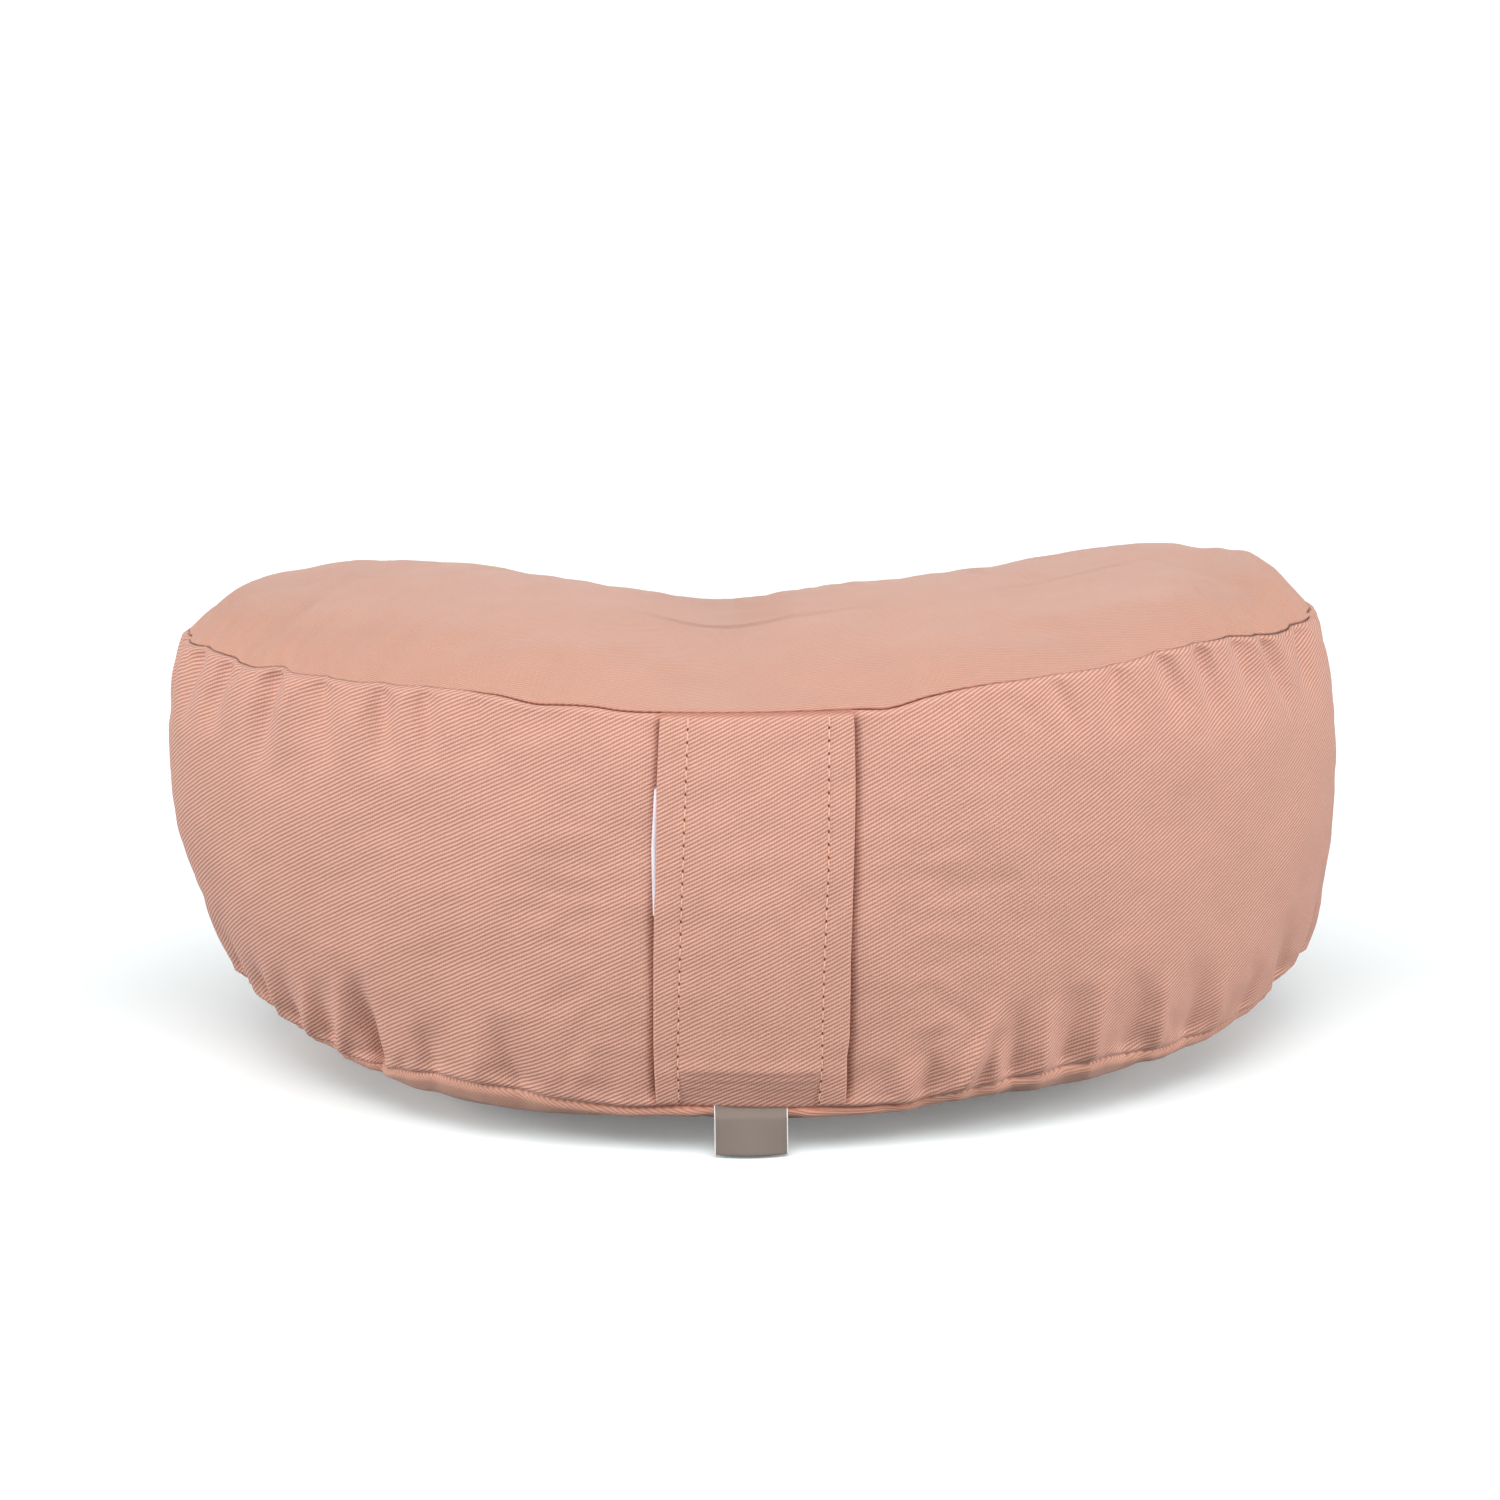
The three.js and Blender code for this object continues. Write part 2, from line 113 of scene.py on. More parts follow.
# The larger gathers that a seam pulls into the band; a depth below nothing makes a ridge
gatherColumns = ("seam", "along", "lean", "reach", "width", "depth")
gathers = [
    ("top", -250, -4, 32, 4.4, 3),
    ("top", -228, -4, 30, 4, 2.8),
    ("top", -197, -4.5, 42, 4.4, 3.6),
    ("top", -193, 0, 34, 2.5, 0.8),
    ("top", -185, -3, 38, 5, -1.6),
    ("top", -154, 8, 28, 4, -0.8),
    ("top", -133, 8, 26, 4, -0.7),
    ("top", -172, 10, 34, 5, 2.4),
    ("top", -144.5, 9, 32, 3.6, 2.8),
    ("top", -125, 8, 30, 3.6, 2),
    ("top", -104, 10, 30, 4, 1.2),
    ("top", 110, 6, 24, 3.4, 1.3),
    ("top", 138, -6, 26, 4, 2.1),
    ("top", 159, 5, 30, 4, 2.4),
    ("top", 179, 3, 32, 4, 2.8),
    ("top", 200, 6, 32, 4.2, 2.8),
    ("top", 211, 2, 14, 2.5, -0.8),
    ("top", 219, 11, 34, 3.8, 3),
    ("base", -230, 0, 22, 4, 2),
    ("base", -218, 6, 28, 3, -1.6),
    ("base", -207, 5, 28, 4, 2.2),
    ("base", -194, 7, 28, 3, -1.8),
    ("base", -184, 6, 30, 4.5, 2.4),
    ("base", -172, 7, 34, 3.4, -2),
    ("base", -153.5, -3, 40, 4, 6),
    ("base", -160, -3, 30, 7, 2),
    ("base", -123, -2, 28, 4.5, 1.8),
    ("base", -103, 0, 28, 4, -1),
    ("base", -86, -10, 34, 6, 2.4),
    ("base", -54, 0, 24, 5, 1),
    ("base", 43, 0, 20, 4, 0.9),
    ("base", 50, 2, 18, 3, -1),
    ("base", 58, 2, 30, 4.5, 2.2),
    ("base", 70, 13, 34, 2.6, -2.4),
    ("base", 77, 8, 24, 3, 1.4),
    ("base", 84, 0, 22, 2.6, -0.9),
    ("base", 91, 0, 30, 4, 2.5),
    ("base", 101, 3, 30, 3, -2),
    ("base", 112, 4, 32, 5, 2.6),
    ("base", 122.5, 3, 36, 3, -2),
    ("base", 141, 4, 32, 5.5, 2.4),
    ("base", 154, -1, 34, 3.2, -1.8),
    ("base", 173, 2, 34, 5, 2.4),
    ("base", 186, 0, 26, 3.6, -1.2),
    ("base", 208, 3, 22, 4, 1.8),
    ("top", -278, 4, 34, 5, 3),
    ("top", -301, -5, 30, 4.5, 2.8),
    ("top", -344, 3, 36, 5, 3.2),
    ("top", -392, 6, 30, 5, 2.4),
    ("top", 248, -4, 32, 4.5, 2.6),
    ("top", 275, 5, 36, 4.5, 3),
    ("top", 306, -3, 34, 4.5, 2.6),
    ("top", 352, -6, 32, 5, 2.8),
    ("top", 392, 3, 30, 5, 2.4),
    ("base", -256, 3, 30, 5, 2.8),
    ("base", -283, 5, 36, 5, 3.2),
    ("base", -322, -4, 32, 5, 3),
    ("base", -370, 3, 34, 5, 2.8),
    ("base", 238, -3, 30, 5, 2.4),
    ("base", 265, 4, 36, 5, 3),
    ("base", 300, -5, 32, 5, 2.8),
    ("base", 342, 3, 34, 5, 2.6),
    ("base", 388, 3, 34, 5, 2.6),
]
# How the band and the edges beside it are shaped
band = {
    "gatherStart": 4,  # a gather is full this far from its seam
    "seamPull": 0.45,  # share of a gather that still draws in its seam
    "gatherStrength": 1.55,
    "gatherFade": 1.2,
    "creaseSharpness": 1.7,  # 2 is a round trough, lower is a sharper one
    "creaseRounding": 0.02,
    "recessDepth": 2.9,  # the band is pressed in behind the strap
    "recessShoulder": 13,  # it comes out again over this distance beside the strap
    "recessSharp": 0.6,  # share of it that does so right beside the strap
    "recessSharpRun": 3.5,
    "recessRun": 0.055,  # share of the band's height over which it fades out at each seam
    "recessRunBehind": 0.009,  # the same where the strap hides it
    "hiddenFrom": -3,  # it is hidden from this far inside the strap's edge
    "grooveDepth": 2.6,  # the stitched line lies in a narrow groove
    "grooveWidth": 0.24,
    "grooveLean": 0.75,  # how far up or down the groove points for one outwards
    "paintedShadeWidth": 0.6,  # painted shade: the cloth is painted darker and redder this near to a stitched line
    "paintedShadeBeside": 0.7,  # and this much painted shade in the fold beside the strap
    "paintedShadeBesideRun": (0.5, 4),
    "lipHeight": 2,  # the base panel's edge swells out under its seam
    "lipAt": 2.7,
    "lipWidth": 2.4,
    "rollHeight": 0.4,  # the cloth rolls over on both sides of the groove
    "rollAt": 2.2,
    "rollWidth": 1.4,
}
# The husk filling shows as soft lumps, and the cloth ripples a little
unevenness = {
    "lumpHeight": 0.35,
    "lumpSize": 46,
    "lumpSeed": 3,
    "lumpsOnTop": 0.6,  # share of their height there
    "rippleHeight": 0.1,
    "rippleSize": 15,
    "rippleSeed": 5,
    "fullAway": 14,  # it is full this far from a seam
    "fullAbove": (0.5, 12),  # and grows between these heights over the floor
    "waves": 16,
    "waveSpread": (0.7, 1.5),
}
# How open the stitched lines are, distance along the seam: share of the full groove
topSeamOpen = {
    -550: 0.5, -260: 0.3, -215: 0.25, -190: 0.08, -110: 0.08, -95: 0.6, -80: 1.1, 60: 1.1, 70: 0.7,
    85: 0.3, 115: 0.12, 185: 0.12, 200: 0.5, 240: 0.6, 300: 0.5, 550: 0.5,
}
baseSeamOpen = {
    -550: 0.7, -200: 0.5, -150: 0.3, -110: 0.1, -80: 0.3, -40: 1, 50: 1, 66: 0.12, 200: 0.1, 300: 0.7,
    550: 0.7,
}
# How far the base panel's edge swells out, distance along the seam: share of the full lip
baseLip = {
    -200: 0, -165: 0.3, -140: 0.45, -80: 0.45, -50: 0.75, -24: 0.75, -19: 0.3, 11: 0.3, 16: 0.75,
    50: 0.75, 80: 0.6, 120: 0.6, 175: 0.5, 215: 0.35, 250: 0.15, 300: 0,
}
# Edges and stitch lines of the carrying strap, distances along the seam from the middle of the front
strapColumns = ("rise", "leftEdge", "leftStitch", "rightStitch", "rightEdge")
strapLines = [
    (0.0, -35.9, -29.1, 20.1, 28.4),
    (0.14, -36.0, -28.5, 20.8, 28.5),
    (0.185, -35.9, -28.3, 20.8, 29.3),
    (0.385, -35.3, -27.2, 21.6, 29.8),
    (0.54, -34.7, -26.3, 22.8, 30.7),
    (0.62, -34.0, -25.8, 23.5, 31.3),
    (0.83, -33.9, -24.7, 24.3, 32.7),
    (1.0, -33.0, -24.0, 25.3, 33.2),
]
# Small puckers between the gathers, drawn at random with a fixed seed
smallPuckers = {
    "seed": 11,
    "spacing": 8,
    "spacingSpread": (0.55, 1.5),
    "lean": (-4, 4),
    "reach": (6, 16),
    "width": (1.4, 2.6),
    "depth": (0.25, 0.75),
    "growFrom": (95, 150),  # the middle of the front has none
    "calmFrom": (330, 420),  # in the hollow they are shallower
    "calmShare": 0.4,
    "leastShare": 0.05,
}


def smooth(x, low=0.0, high=1.0):
    share = np.clip((x - low) / (high - low), 0, 1)
    return share * share * (3 - 2 * share)


def mix(a, b, share):
    return a + (b - a) * share


def bump(x, at, width):
    return np.exp(-(((x - at) / width) ** 2))


# A table's values between its places, going smoothly from one to the next, and nothing beyond its ends
def curveAt(table, x):
    places = np.array(list(table.keys()), float)
    values = np.array(list(table.values()), float)
    i = np.clip(np.searchsorted(places, x) - 1, 0, len(places) - 2)
    value = mix(values[i], values[i + 1], smooth(x, places[i], places[i + 1]))
    return np.where((x >= places[0]) & (x <= places[-1]), value, 0)


# The same in straight lines, and level beyond the table's ends
def lineAt(table, x):
    return np.interp(x, list(table.keys()), list(table.values()))


# Soft unevenness: a few plane waves of about one length, in random directions
def lumps(points, size, seed):
    draw = np.random.default_rng(seed)
    total = np.zeros(points.shape[:-1])
    for _ in range(unevenness["waves"]):
        direction = draw.normal(size=3)
        length = size * draw.uniform(*unevenness["waveSpread"])
        direction *= 2 * math.pi / length / np.linalg.norm(direction)
        total += np.cos(points @ direction + draw.uniform(0, 2 * math.pi))
    return total / math.sqrt(unevenness["waves"] / 2)


frontReach = outline["frontRadius"] - outline["hornRadius"]
hornY = outline["frontRadius"] - math.sqrt(frontReach ** 2 - outline["hornSpread"] ** 2)
bayReach = outline["bayRadius"] + outline["hornRadius"]
bayCentreY = hornY + math.sqrt(bayReach ** 2 - outline["hornSpread"] ** 2)
frontAngle = math.atan2(outline["hornSpread"], outline["frontRadius"] - hornY)
bayAngle = math.atan2(outline["hornSpread"], bayCentreY - hornY)
frontLength = outline["frontRadius"] * frontAngle
hornLength = outline["hornRadius"] * (math.pi + bayAngle - frontAngle)
halfLength = frontLength + hornLength + outline["bayRadius"] * bayAngle
halfWidth = outline["hornSpread"] + outline["hornRadius"]
ridgeMiddleY = (bayCentreY - outline["bayRadius"]) / 2


# Points of the seam line and its outward normals, at distances along it from the middle of the front
def outlineAt(along):
    distance = np.abs(along)
    onFront = distance / outline["frontRadius"] - math.pi / 2
    onHorn = frontAngle - math.pi / 2 + (distance - frontLength) / outline["hornRadius"]
    onBay = bayAngle - math.pi / 2 - (distance - frontLength - hornLength) / outline["bayRadius"]
    zones = [distance < frontLength, distance < frontLength + hornLength]
    angle = np.select(zones, [onFront, onHorn], onBay)
    radius = np.select(zones, [outline["frontRadius"], outline["hornRadius"]], outline["bayRadius"])
    centreX = np.select(zones, [0, outline["hornSpread"]], 0)
    centreY = np.select(zones, [outline["frontRadius"], hornY], bayCentreY)
    outward = np.select(zones, [1, 1], -1)
    mirror = np.where(along < 0, -1, 1)
    points = np.stack([mirror * (centreX + radius * np.cos(angle)), centreY + radius * np.sin(angle)], -1)
    normals = np.stack([mirror * outward * np.cos(angle), outward * np.sin(angle)], -1)
    return points, normals


def allGathers():
    found = [dict(zip(gatherColumns, row)) for row in gathers]
    draw = np.random.default_rng(smallPuckers["seed"])
    for seam in ("top", "base"):
        at = -halfLength
        while at < halfLength:
            at += smallPuckers["spacing"] * draw.uniform(*smallPuckers["spacingSpread"])
            calm = smallPuckers["calmShare"] * smooth(abs(at), *smallPuckers["calmFrom"])
            strength = smooth(abs(at), *smallPuckers["growFrom"]) * (1 - calm)
            row = {"seam": seam, "along": at}
            for key in ("lean", "reach", "width", "depth"):
                row[key] = draw.uniform(*smallPuckers[key])
            row["depth"] *= strength
            if strength > smallPuckers["leastShare"]:
                found.append(row)
    return found


gatherList = allGathers()


# How deep the gathers press in at places of the band
def gatherDepth(along, fromTop, fromBase):
    total = np.zeros(np.broadcast(along, fromTop).shape)
    for gather in gatherList:
        distance = fromTop if gather["seam"] == "top" else fromBase
        share = np.clip(distance / gather["reach"], 0, 1)
        side = (along - gather["along"] - gather["lean"] * share) / (gather["width"] * (1 + share / 2))
        crease = np.exp(-((side * side + band["creaseRounding"]) ** (band["creaseSharpness"] / 2)))
        fade = (1 - share * share) ** band["gatherFade"]
        start = mix(band["seamPull"], 1, np.clip(distance / band["gatherStart"], 0, 1))
        total += gather["depth"] * band["gatherStrength"] * crease * fade * start
    return total


# The fullness at places along the seam: the middle's values, blended into those of the ends
def stationsAt(along):
    along = np.asarray(along, float)
    points, normals = outlineAt(along)
    x = points[..., 0]
    share = smooth(np.abs(x), fullness["endsStart"] * halfWidth, halfWidth)

    def blended(key):
        return mix(middleFull[key], np.where(x < 0, leftFull[key], rightFull[key]), share)

    strapZone = 1 - smooth(np.abs(along), fullness["strapDropTo"], fullness["strapDropFrom"])
    ridgeX = np.clip(x, -outline["hornSpread"], outline["hornSpread"])
    ridgeY = mix(ridgeMiddleY, hornY, (ridgeX / outline["hornSpread"]) ** 2)
    fuller = sum(belly["share"] * bump(x, belly["at"], belly["width"]) for belly in bellies)
    crownShare = smooth(np.abs(ridgeX), 0, outline["hornSpread"])
    topDip = blended("topDip") + fullness["strapDrop"] * strapZone
    atSeam = np.zeros(along.shape)
    far = np.full(along.shape, 1e3)  # further away than any gather reaches
    return {
        "topPull": gatherDepth(along, atSeam, far),
        "basePull": gatherDepth(along, far, atSeam),
        "along": along,
        "point": points,
        "normal": normals,
        "topZ": fullness["topSeamHeight"] - topDip + curveAt(topWander, along),
        "baseZ": fullness["baseSeamHeight"] + blended("baseLift") + curveAt(baseWander, along),
        "inset": blended("baseInset"),
        "bulge": blended("bulge"),
        "lowPower": blended("lowPower"),
        "basePower": blended("basePower"),
        "crownPower": mix(fullness["crownPower"], fullness["crownPowerEnds"], share),
        "ridge": np.stack([ridgeX, ridgeY], -1),
        "crown": mix(fullness["crownMiddle"], fullness["crownHorns"], crownShare),
        "flat": fullness["flatFrom"] - np.where(points[..., 1] < ridgeY, fuller, 0),
    }


def strapLine(name, rise):
    rises = [row[0] for row in strapLines]
    return np.interp(rise, rises, [row[strapColumns.index(name)] for row in strapLines])


# How far beside the strap a place of the band is, below nothing behind it
def besideStrap(along, rise):
    return np.maximum(strapLine("leftEdge", rise) - along, along - strapLine("rightEdge", rise))


# A point of the side band: rise runs from 0 at the base seam to 1 at the top seam, and out is an extra
# distance along the outward normal
def bandPoint(stations, rise, out=0.0, gathered=True, recessed=True):
    along = stations["along"]
    bandHeight = stations["topZ"] - stations["baseZ"]
    power = np.where(rise < 0.5, stations["lowPower"], fullness["bulgePower"])
    offset = stations["bulge"] * np.sin(math.pi * np.clip(rise, 0, 1)) ** power
    if recessed:
        beside = besideStrap(along, rise)
        softly = smooth(beside, 0, band["recessShoulder"])
        sharply = smooth(beside, 0, band["recessSharpRun"])
        run = mix(band["recessRunBehind"], band["recessRun"], smooth(beside, band["hiddenFrom"], 0))
        ends = smooth(rise / run) * smooth((1 - rise) / run)
        offset = offset - band["recessDepth"] * (1 - mix(softly, sharply, band["recessSharp"])) * ends
    fromTop = (1 - rise) * bandHeight
    fromBase = rise * bandHeight
    if gathered:
        offset = offset - gatherDepth(along, fromTop, fromBase)
    nearSeam = np.minimum(fromTop, fromBase)
    offset = offset - fullness["seamSink"] * np.clip(1 - nearSeam / fullness["sinkWidth"], 0, 1)
    distance = offset + out - stations["inset"] * (1 - rise)
    plan = stations["point"] + stations["normal"] * distance[..., None]
    height = mix(stations["baseZ"], stations["topZ"], rise)
    return np.concatenate([plan, np.broadcast_to(height, plan.shape[:-1])[..., None]], -1)


# A panel in plan, from its rim in to a share of the way to the ridge, with its gathers drawn in
def panelPlan(stations, sunk, inward, share, pull):
    rim = stations["point"] - stations["normal"] * np.asarray(sunk)[..., None]
    plan = mix(rim, stations["ridge"], inward[..., None])
    return plan - stations["normal"] * (stations[pull] * (1 - share) ** fullness["pullFade"])[..., None]


def topPoint(stations, share):
    plan = panelPlan(stations, fullness["seamSink"], share, share, "topPull")
    fall = fullness["topSeamHeight"] - stations["topZ"]
    valley = fullness["valleyDepth"] * bump(plan[..., 0], fullness["valleyAt"], fullness["valleyWidth"])
    crown = stations["crown"] - valley + curveAt(crownWander, plan[..., 0])
    swell = crown * (1 - (1 - share) ** stations["crownPower"])
    return np.concatenate([plan, (stations["topZ"] + fall * share + swell)[..., None]], -1)


def basePoint(stations, share):
    sunk = stations["inset"] + fullness["seamSink"]
    plan = panelPlan(stations, sunk, share * stations["flat"], share, "basePull")
    hover = curveAt(baseHover, plan[..., 0])
    edge = curveAt(baseEdge, stations["along"])
    height = hover + (stations["baseZ"] - edge - hover) * (1 - share) ** stations["basePower"]
    height = height + edge * (1 - share) ** fullness["edgeTurn"]
    return np.concatenate([plan, height[..., None]], -1)


# From the model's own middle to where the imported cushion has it
def seatShift(points):
    low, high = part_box("cushion")
    own = (points.min(0) + points.max(0)) / 2
    return np.array([(low + high)[0] / 2 / mm - own[0], (low + high)[1] / 2 / mm - own[1], 0])


# Outward directions in plan, made three-dimensional with a climb, or level without one
def withClimb(normals, climb=0.0):
    return np.concatenate([normals, np.full((*normals.shape[:-1], 1), climb)], -1)


# The way a seam's groove opens: outwards, and up at the top seam or down at the base seam
def grooveDirection(normals, upward):
    direction = withClimb(normals, upward * band["grooveLean"])
    return direction / np.linalg.norm(direction, axis=-1, keepdims=True)


def addObject(name, data):
    made = bpy.data.objects.new(name, data)
    bpy.context.scene.collection.objects.link(made)
    return made


def meshObject(name, points, faces, uvs, material):
    mesh = bpy.data.meshes.new(name)
    mesh.from_pydata((points.reshape(-1, 3) * mm).tolist(), [], faces)
    layer = mesh.uv_layers.new(name="cloth")
    layer.data.foreach_set("uv", np.asarray(uvs, np.float32).ravel())
    mesh.polygons.foreach_set("use_smooth", [True] * len(mesh.polygons))
    mesh.materials.append(material)
    return addObject(name, mesh)


# A value at each point of a piece that its material reads
def setAttribute(piece, name, values):
    attribute = piece.data.attributes.new(name, "FLOAT", "POINT")
    attribute.data.foreach_set("value", values.ravel().astype(np.float32))


# Nodes of a tree, added and wired in one line each; what comes back is an output of the new node
def nodeAdder(tree):
    def add(kind, inputs=None, output=0, **settings):
        node = tree.nodes.new(kind)
        for key, value in settings.items():
            setattr(node, key, value)
        for key, value in (inputs or {}).items():
            if isinstance(value, bpy.types.NodeSocket):
                tree.links.new(value, node.inputs[key])
            else:
                node.inputs[key].default_value = value
        return node.outputs[output] if node.outputs else node

    return add


# One step of arithmetic
def calc(add, operation, a, b=0.0, c=0.0):
    return add("ShaderNodeMath", {0: a, 1: b, 2: c}, operation=operation)


def noise(add, place, scale, detail):
    return add("ShaderNodeTexNoise", {"Vector": place, "Scale": scale, "Detail": detail})


def scaledColor(add, color, share):
    return add("ShaderNodeVectorMath", {0: color, "Scale": share}, operation="SCALE")


def newMaterial(name):
    material = bpy.data.materials.new(name)
    material.use_nodes = True
    material.node_tree.nodes.clear()
    return material, nodeAdder(material.node_tree)


# The end of each material: its shader, with the small relief of its surface in millimetres
def addShader(add, looks, height=None, relief=0.0):
    if height is not None:
        looks["Normal"] = add("ShaderNodeBump", {"Height": height, "Distance": relief * mm, "Strength": 1.0})
    add("ShaderNodeOutputMaterial", {"Surface": add("ShaderNodeBsdfPrincipled", looks)})


# Cotton twill: diagonal ridges of short floats, slubs and a soft fuzz, on a UV map in metres
coverTwill = {
    "color": (0.555, 0.315, 0.266),
    "valleyShadeLoss": (0.42, 0.537, 0.7),  # share of each colour that the lines between the ridges lose: the weave's pattern, drawn as painted shade in its grooves
    "valleyDepth": 1,
    "panelDepth": 0.6,  # the same on the panels, where the cloth lies calmer
    # painted shade: the panels' cloth is toned darker and warmer than the band's, set against the light on
    # the top
    "panelShadeTint": (0.908, 0.875, 0.798),
    "paintedShadeTint": (0.74, 0.5, 0.44),  # painted shade: inside a seam or fold the cloth is painted darker and redder, as there the light comes from the cloth itself
    "speck": 0.32,  # unevenness of the single floats
    "panelSpeck": 0.2,
    "mottle": 0.05,
    "pitch": 1.33,
    "angle": 28,
    "ridgeWidth": 0.6,  # lower makes the ridges wider and the lines narrower
    "ridgeWobble": 0.5,  # in pitches
    "threadPitch": 0.9,
    "threadWobble": 9.0,  # radians
    "threadShare": 0.08,  # heights of the threads and the fuzz against the ridges
    "fuzzShare": 0.4,
    "ridgeHeight": 0.16,
    "sheen": 0.17,
}


def twillMaterial(name, values):
    material, add = newMaterial(name)
    panel = add("ShaderNodeAttribute", output=2, attribute_name="panel")
    paintedShade = add("ShaderNodeAttribute", output=2, attribute_name="paintedShade")
    place = add("ShaderNodeUVMap", uv_map="cloth")
    object3d = add("ShaderNodeTexCoord", output="Object")

    # A value that is one thing on the band and another on the panels
    def onPanel(bandKey, panelKey):
        change = calc(add, "MULTIPLY", panel, values[panelKey] - values[bandKey])
        return calc(add, "ADD", change, values[bandKey])

    # A pattern of 0 to 1, as its distance from the middle times a strength
    def swing(pattern, strength):
        return calc(add, "MULTIPLY", calc(add, "SUBTRACT", pattern, 0.5), strength)

    wobble = noise(add, object3d, 90.0, 2.0)
    axes = add("ShaderNodeSeparateXYZ", {0: place}).node.outputs
    angle = math.radians(values["angle"])
    pitch = values["pitch"] * mm
    climb = calc(add, "MULTIPLY", axes[1], math.cos(angle) / pitch)
    run = calc(add, "MULTIPLY", axes[0], math.sin(angle) / pitch)
    across = calc(add, "SUBTRACT", climb, run)
    across = calc(add, "ADD", across, calc(add, "MULTIPLY", wobble, values["ridgeWobble"]))
    wave = calc(add, "COSINE", calc(add, "MULTIPLY", across, 2 * math.pi))
    halfWave = calc(add, "MULTIPLY", wave, 0.499)  # just under a half keeps the power's base above 0
    ridge = calc(add, "POWER", calc(add, "ADD", halfWave, 0.5), values["ridgeWidth"])
    threads = calc(add, "MULTIPLY", axes[0], 2 * math.pi / (values["threadPitch"] * mm))
    thread = calc(add, "ADD", threads, calc(add, "MULTIPLY", wobble, values["threadWobble"]))
    thread = calc(add, "COSINE", thread)
    relief = calc(add, "ADD", ridge, calc(add, "MULTIPLY", thread, values["threadShare"]))
    fuzz = noise(add, place, 2600.0, 2.0)
    height = calc(add, "ADD", relief, calc(add, "MULTIPLY", fuzz, values["fuzzShare"]))
    slubPlace = add("ShaderNodeMapping", {"Vector": place, "Scale": (160.0, 1500.0, 1.0)})
    shade = calc(add, "ADD", 1.0, swing(noise(add, place, 950.0, 2.0), onPanel("speck", "panelSpeck")))
    shade = calc(add, "ADD", shade, swing(noise(add, object3d, 45.0, 5.0), values["mottle"] * 2))
    shade = calc(add, "ADD", shade, swing(noise(add, slubPlace, 1.0, 1.0), values["mottle"] * 2))
    # Painted shade in the weave: the lower the cloth between its ridges, the darker and redder
    valley = calc(add, "MULTIPLY", calc(add, "SUBTRACT", 1.0, relief), onPanel("valleyDepth", "panelDepth"))
    loss = tuple(-share * part for share, part in zip(values["valleyShadeLoss"], values["color"]))
    valleyShade = scaledColor(add, loss, valley)
    cloth = add("ShaderNodeVectorMath", {0: values["color"], 1: valleyShade}, operation="ADD")
    # The second tint is painted shade, darker and redder inside seams and folds
    for mask, key in ((panel, "panelShadeTint"), (paintedShade, "paintedShadeTint")):
        change = {0: mask, 1: tuple(share - 1 for share in values[key]), 2: (1, 1, 1)}
        tint = add("ShaderNodeVectorMath", change, operation="MULTIPLY_ADD")
        cloth = add("ShaderNodeVectorMath", {0: cloth, 1: tint}, operation="MULTIPLY")
    looks = {
        "Base Color": scaledColor(add, cloth, shade),
        "Roughness": 0.92,
        "Specular IOR Level": 0.2,
        "Sheen Weight": values["sheen"],
        "Sheen Roughness": 0.42,
        "Sheen Tint": (1.0, 0.95, 0.93, 1.0),
    }
    addShader(add, looks, height, values["ridgeHeight"])
    return material


twill = twillMaterial("coverTwill", coverTwill)

# How finely the cushion is divided
cushionGrid = {
    "fineStep": 1.25,  # along the front and the horns
    "fineUpTo": 310,
    "baySteps": 118,  # from there to the middle of the hollow
    "bandSteps": 62,
    "nearSeam": (0.1, 0.22, 0.4, 0.7, 1.2, 1.9, 2.8, 4.0, 5.6, 7.4, 9.4),  # rows this far from each seam
    "topSteps": 20,
    "topUpTo": 0.97,
    "baseSteps": 10,
    "baseSpread": 1.3,  # the base panel's rows near its seam lie this much further apart
    "weaveLevel": 90,  # the band's weave runs level at this height
    "panelTurn": 16,  # degrees, how the panels' cloth is turned against the band's
}


def columnPlaces():
    fine = np.arange(0, cushionGrid["fineUpTo"] - cushionGrid["fineStep"] / 2, cushionGrid["fineStep"])
    coarse = np.linspace(cushionGrid["fineUpTo"], halfLength, cushionGrid["baySteps"] + 1)
    right = np.concatenate([fine, coarse])
    return np.concatenate([-right[-2:0:-1], right])


# Joins the two sides of a ring across, from its left tip to its right one
def fillRing(ring, first, faceUp):
    count = len(ring)
    x = ring[:, 0]
    leftTip = int(np.argmin(x))
    rightTip = int(np.argmax(x))
    front = back = leftTip
    faces = []
    while front != rightTip or back != rightTip:
        nextFront = (front + 1) % count
        nextBack = (back - 1) % count
        takeFront = back == rightTip or (front != rightTip and x[nextFront] < x[nextBack])
        third = nextFront if takeFront else nextBack
        if front != back:
            corners = (front, third, back) if faceUp else (back, third, front)
            faces.append(tuple(first + corner for corner in corners))
        if takeFront:
            front = nextFront
        else:
            back = nextBack
    return faces


# Faces and UV corners between the rings of one zone; the UV grid has one more column than the rings
def zoneFaces(firstRow, rowCount, count, uvGrid):
    rows, columns = np.meshgrid(np.arange(rowCount - 1), np.arange(count), indexing="ij")
    nextColumn = (columns + 1) % count
    low = (firstRow + rows) * count
    high = (firstRow + rows + 1) * count
    faces = np.stack([low + columns, low + nextColumn, high + nextColumn, high + columns], -1)
    corners = [
        uvGrid[rows, columns],
        uvGrid[rows, columns + 1],
        uvGrid[rows + 1, columns + 1],
        uvGrid[rows + 1, columns],
    ]
    return faces.reshape(-1, 4).tolist(), np.stack(corners, 2).reshape(-1, 2)


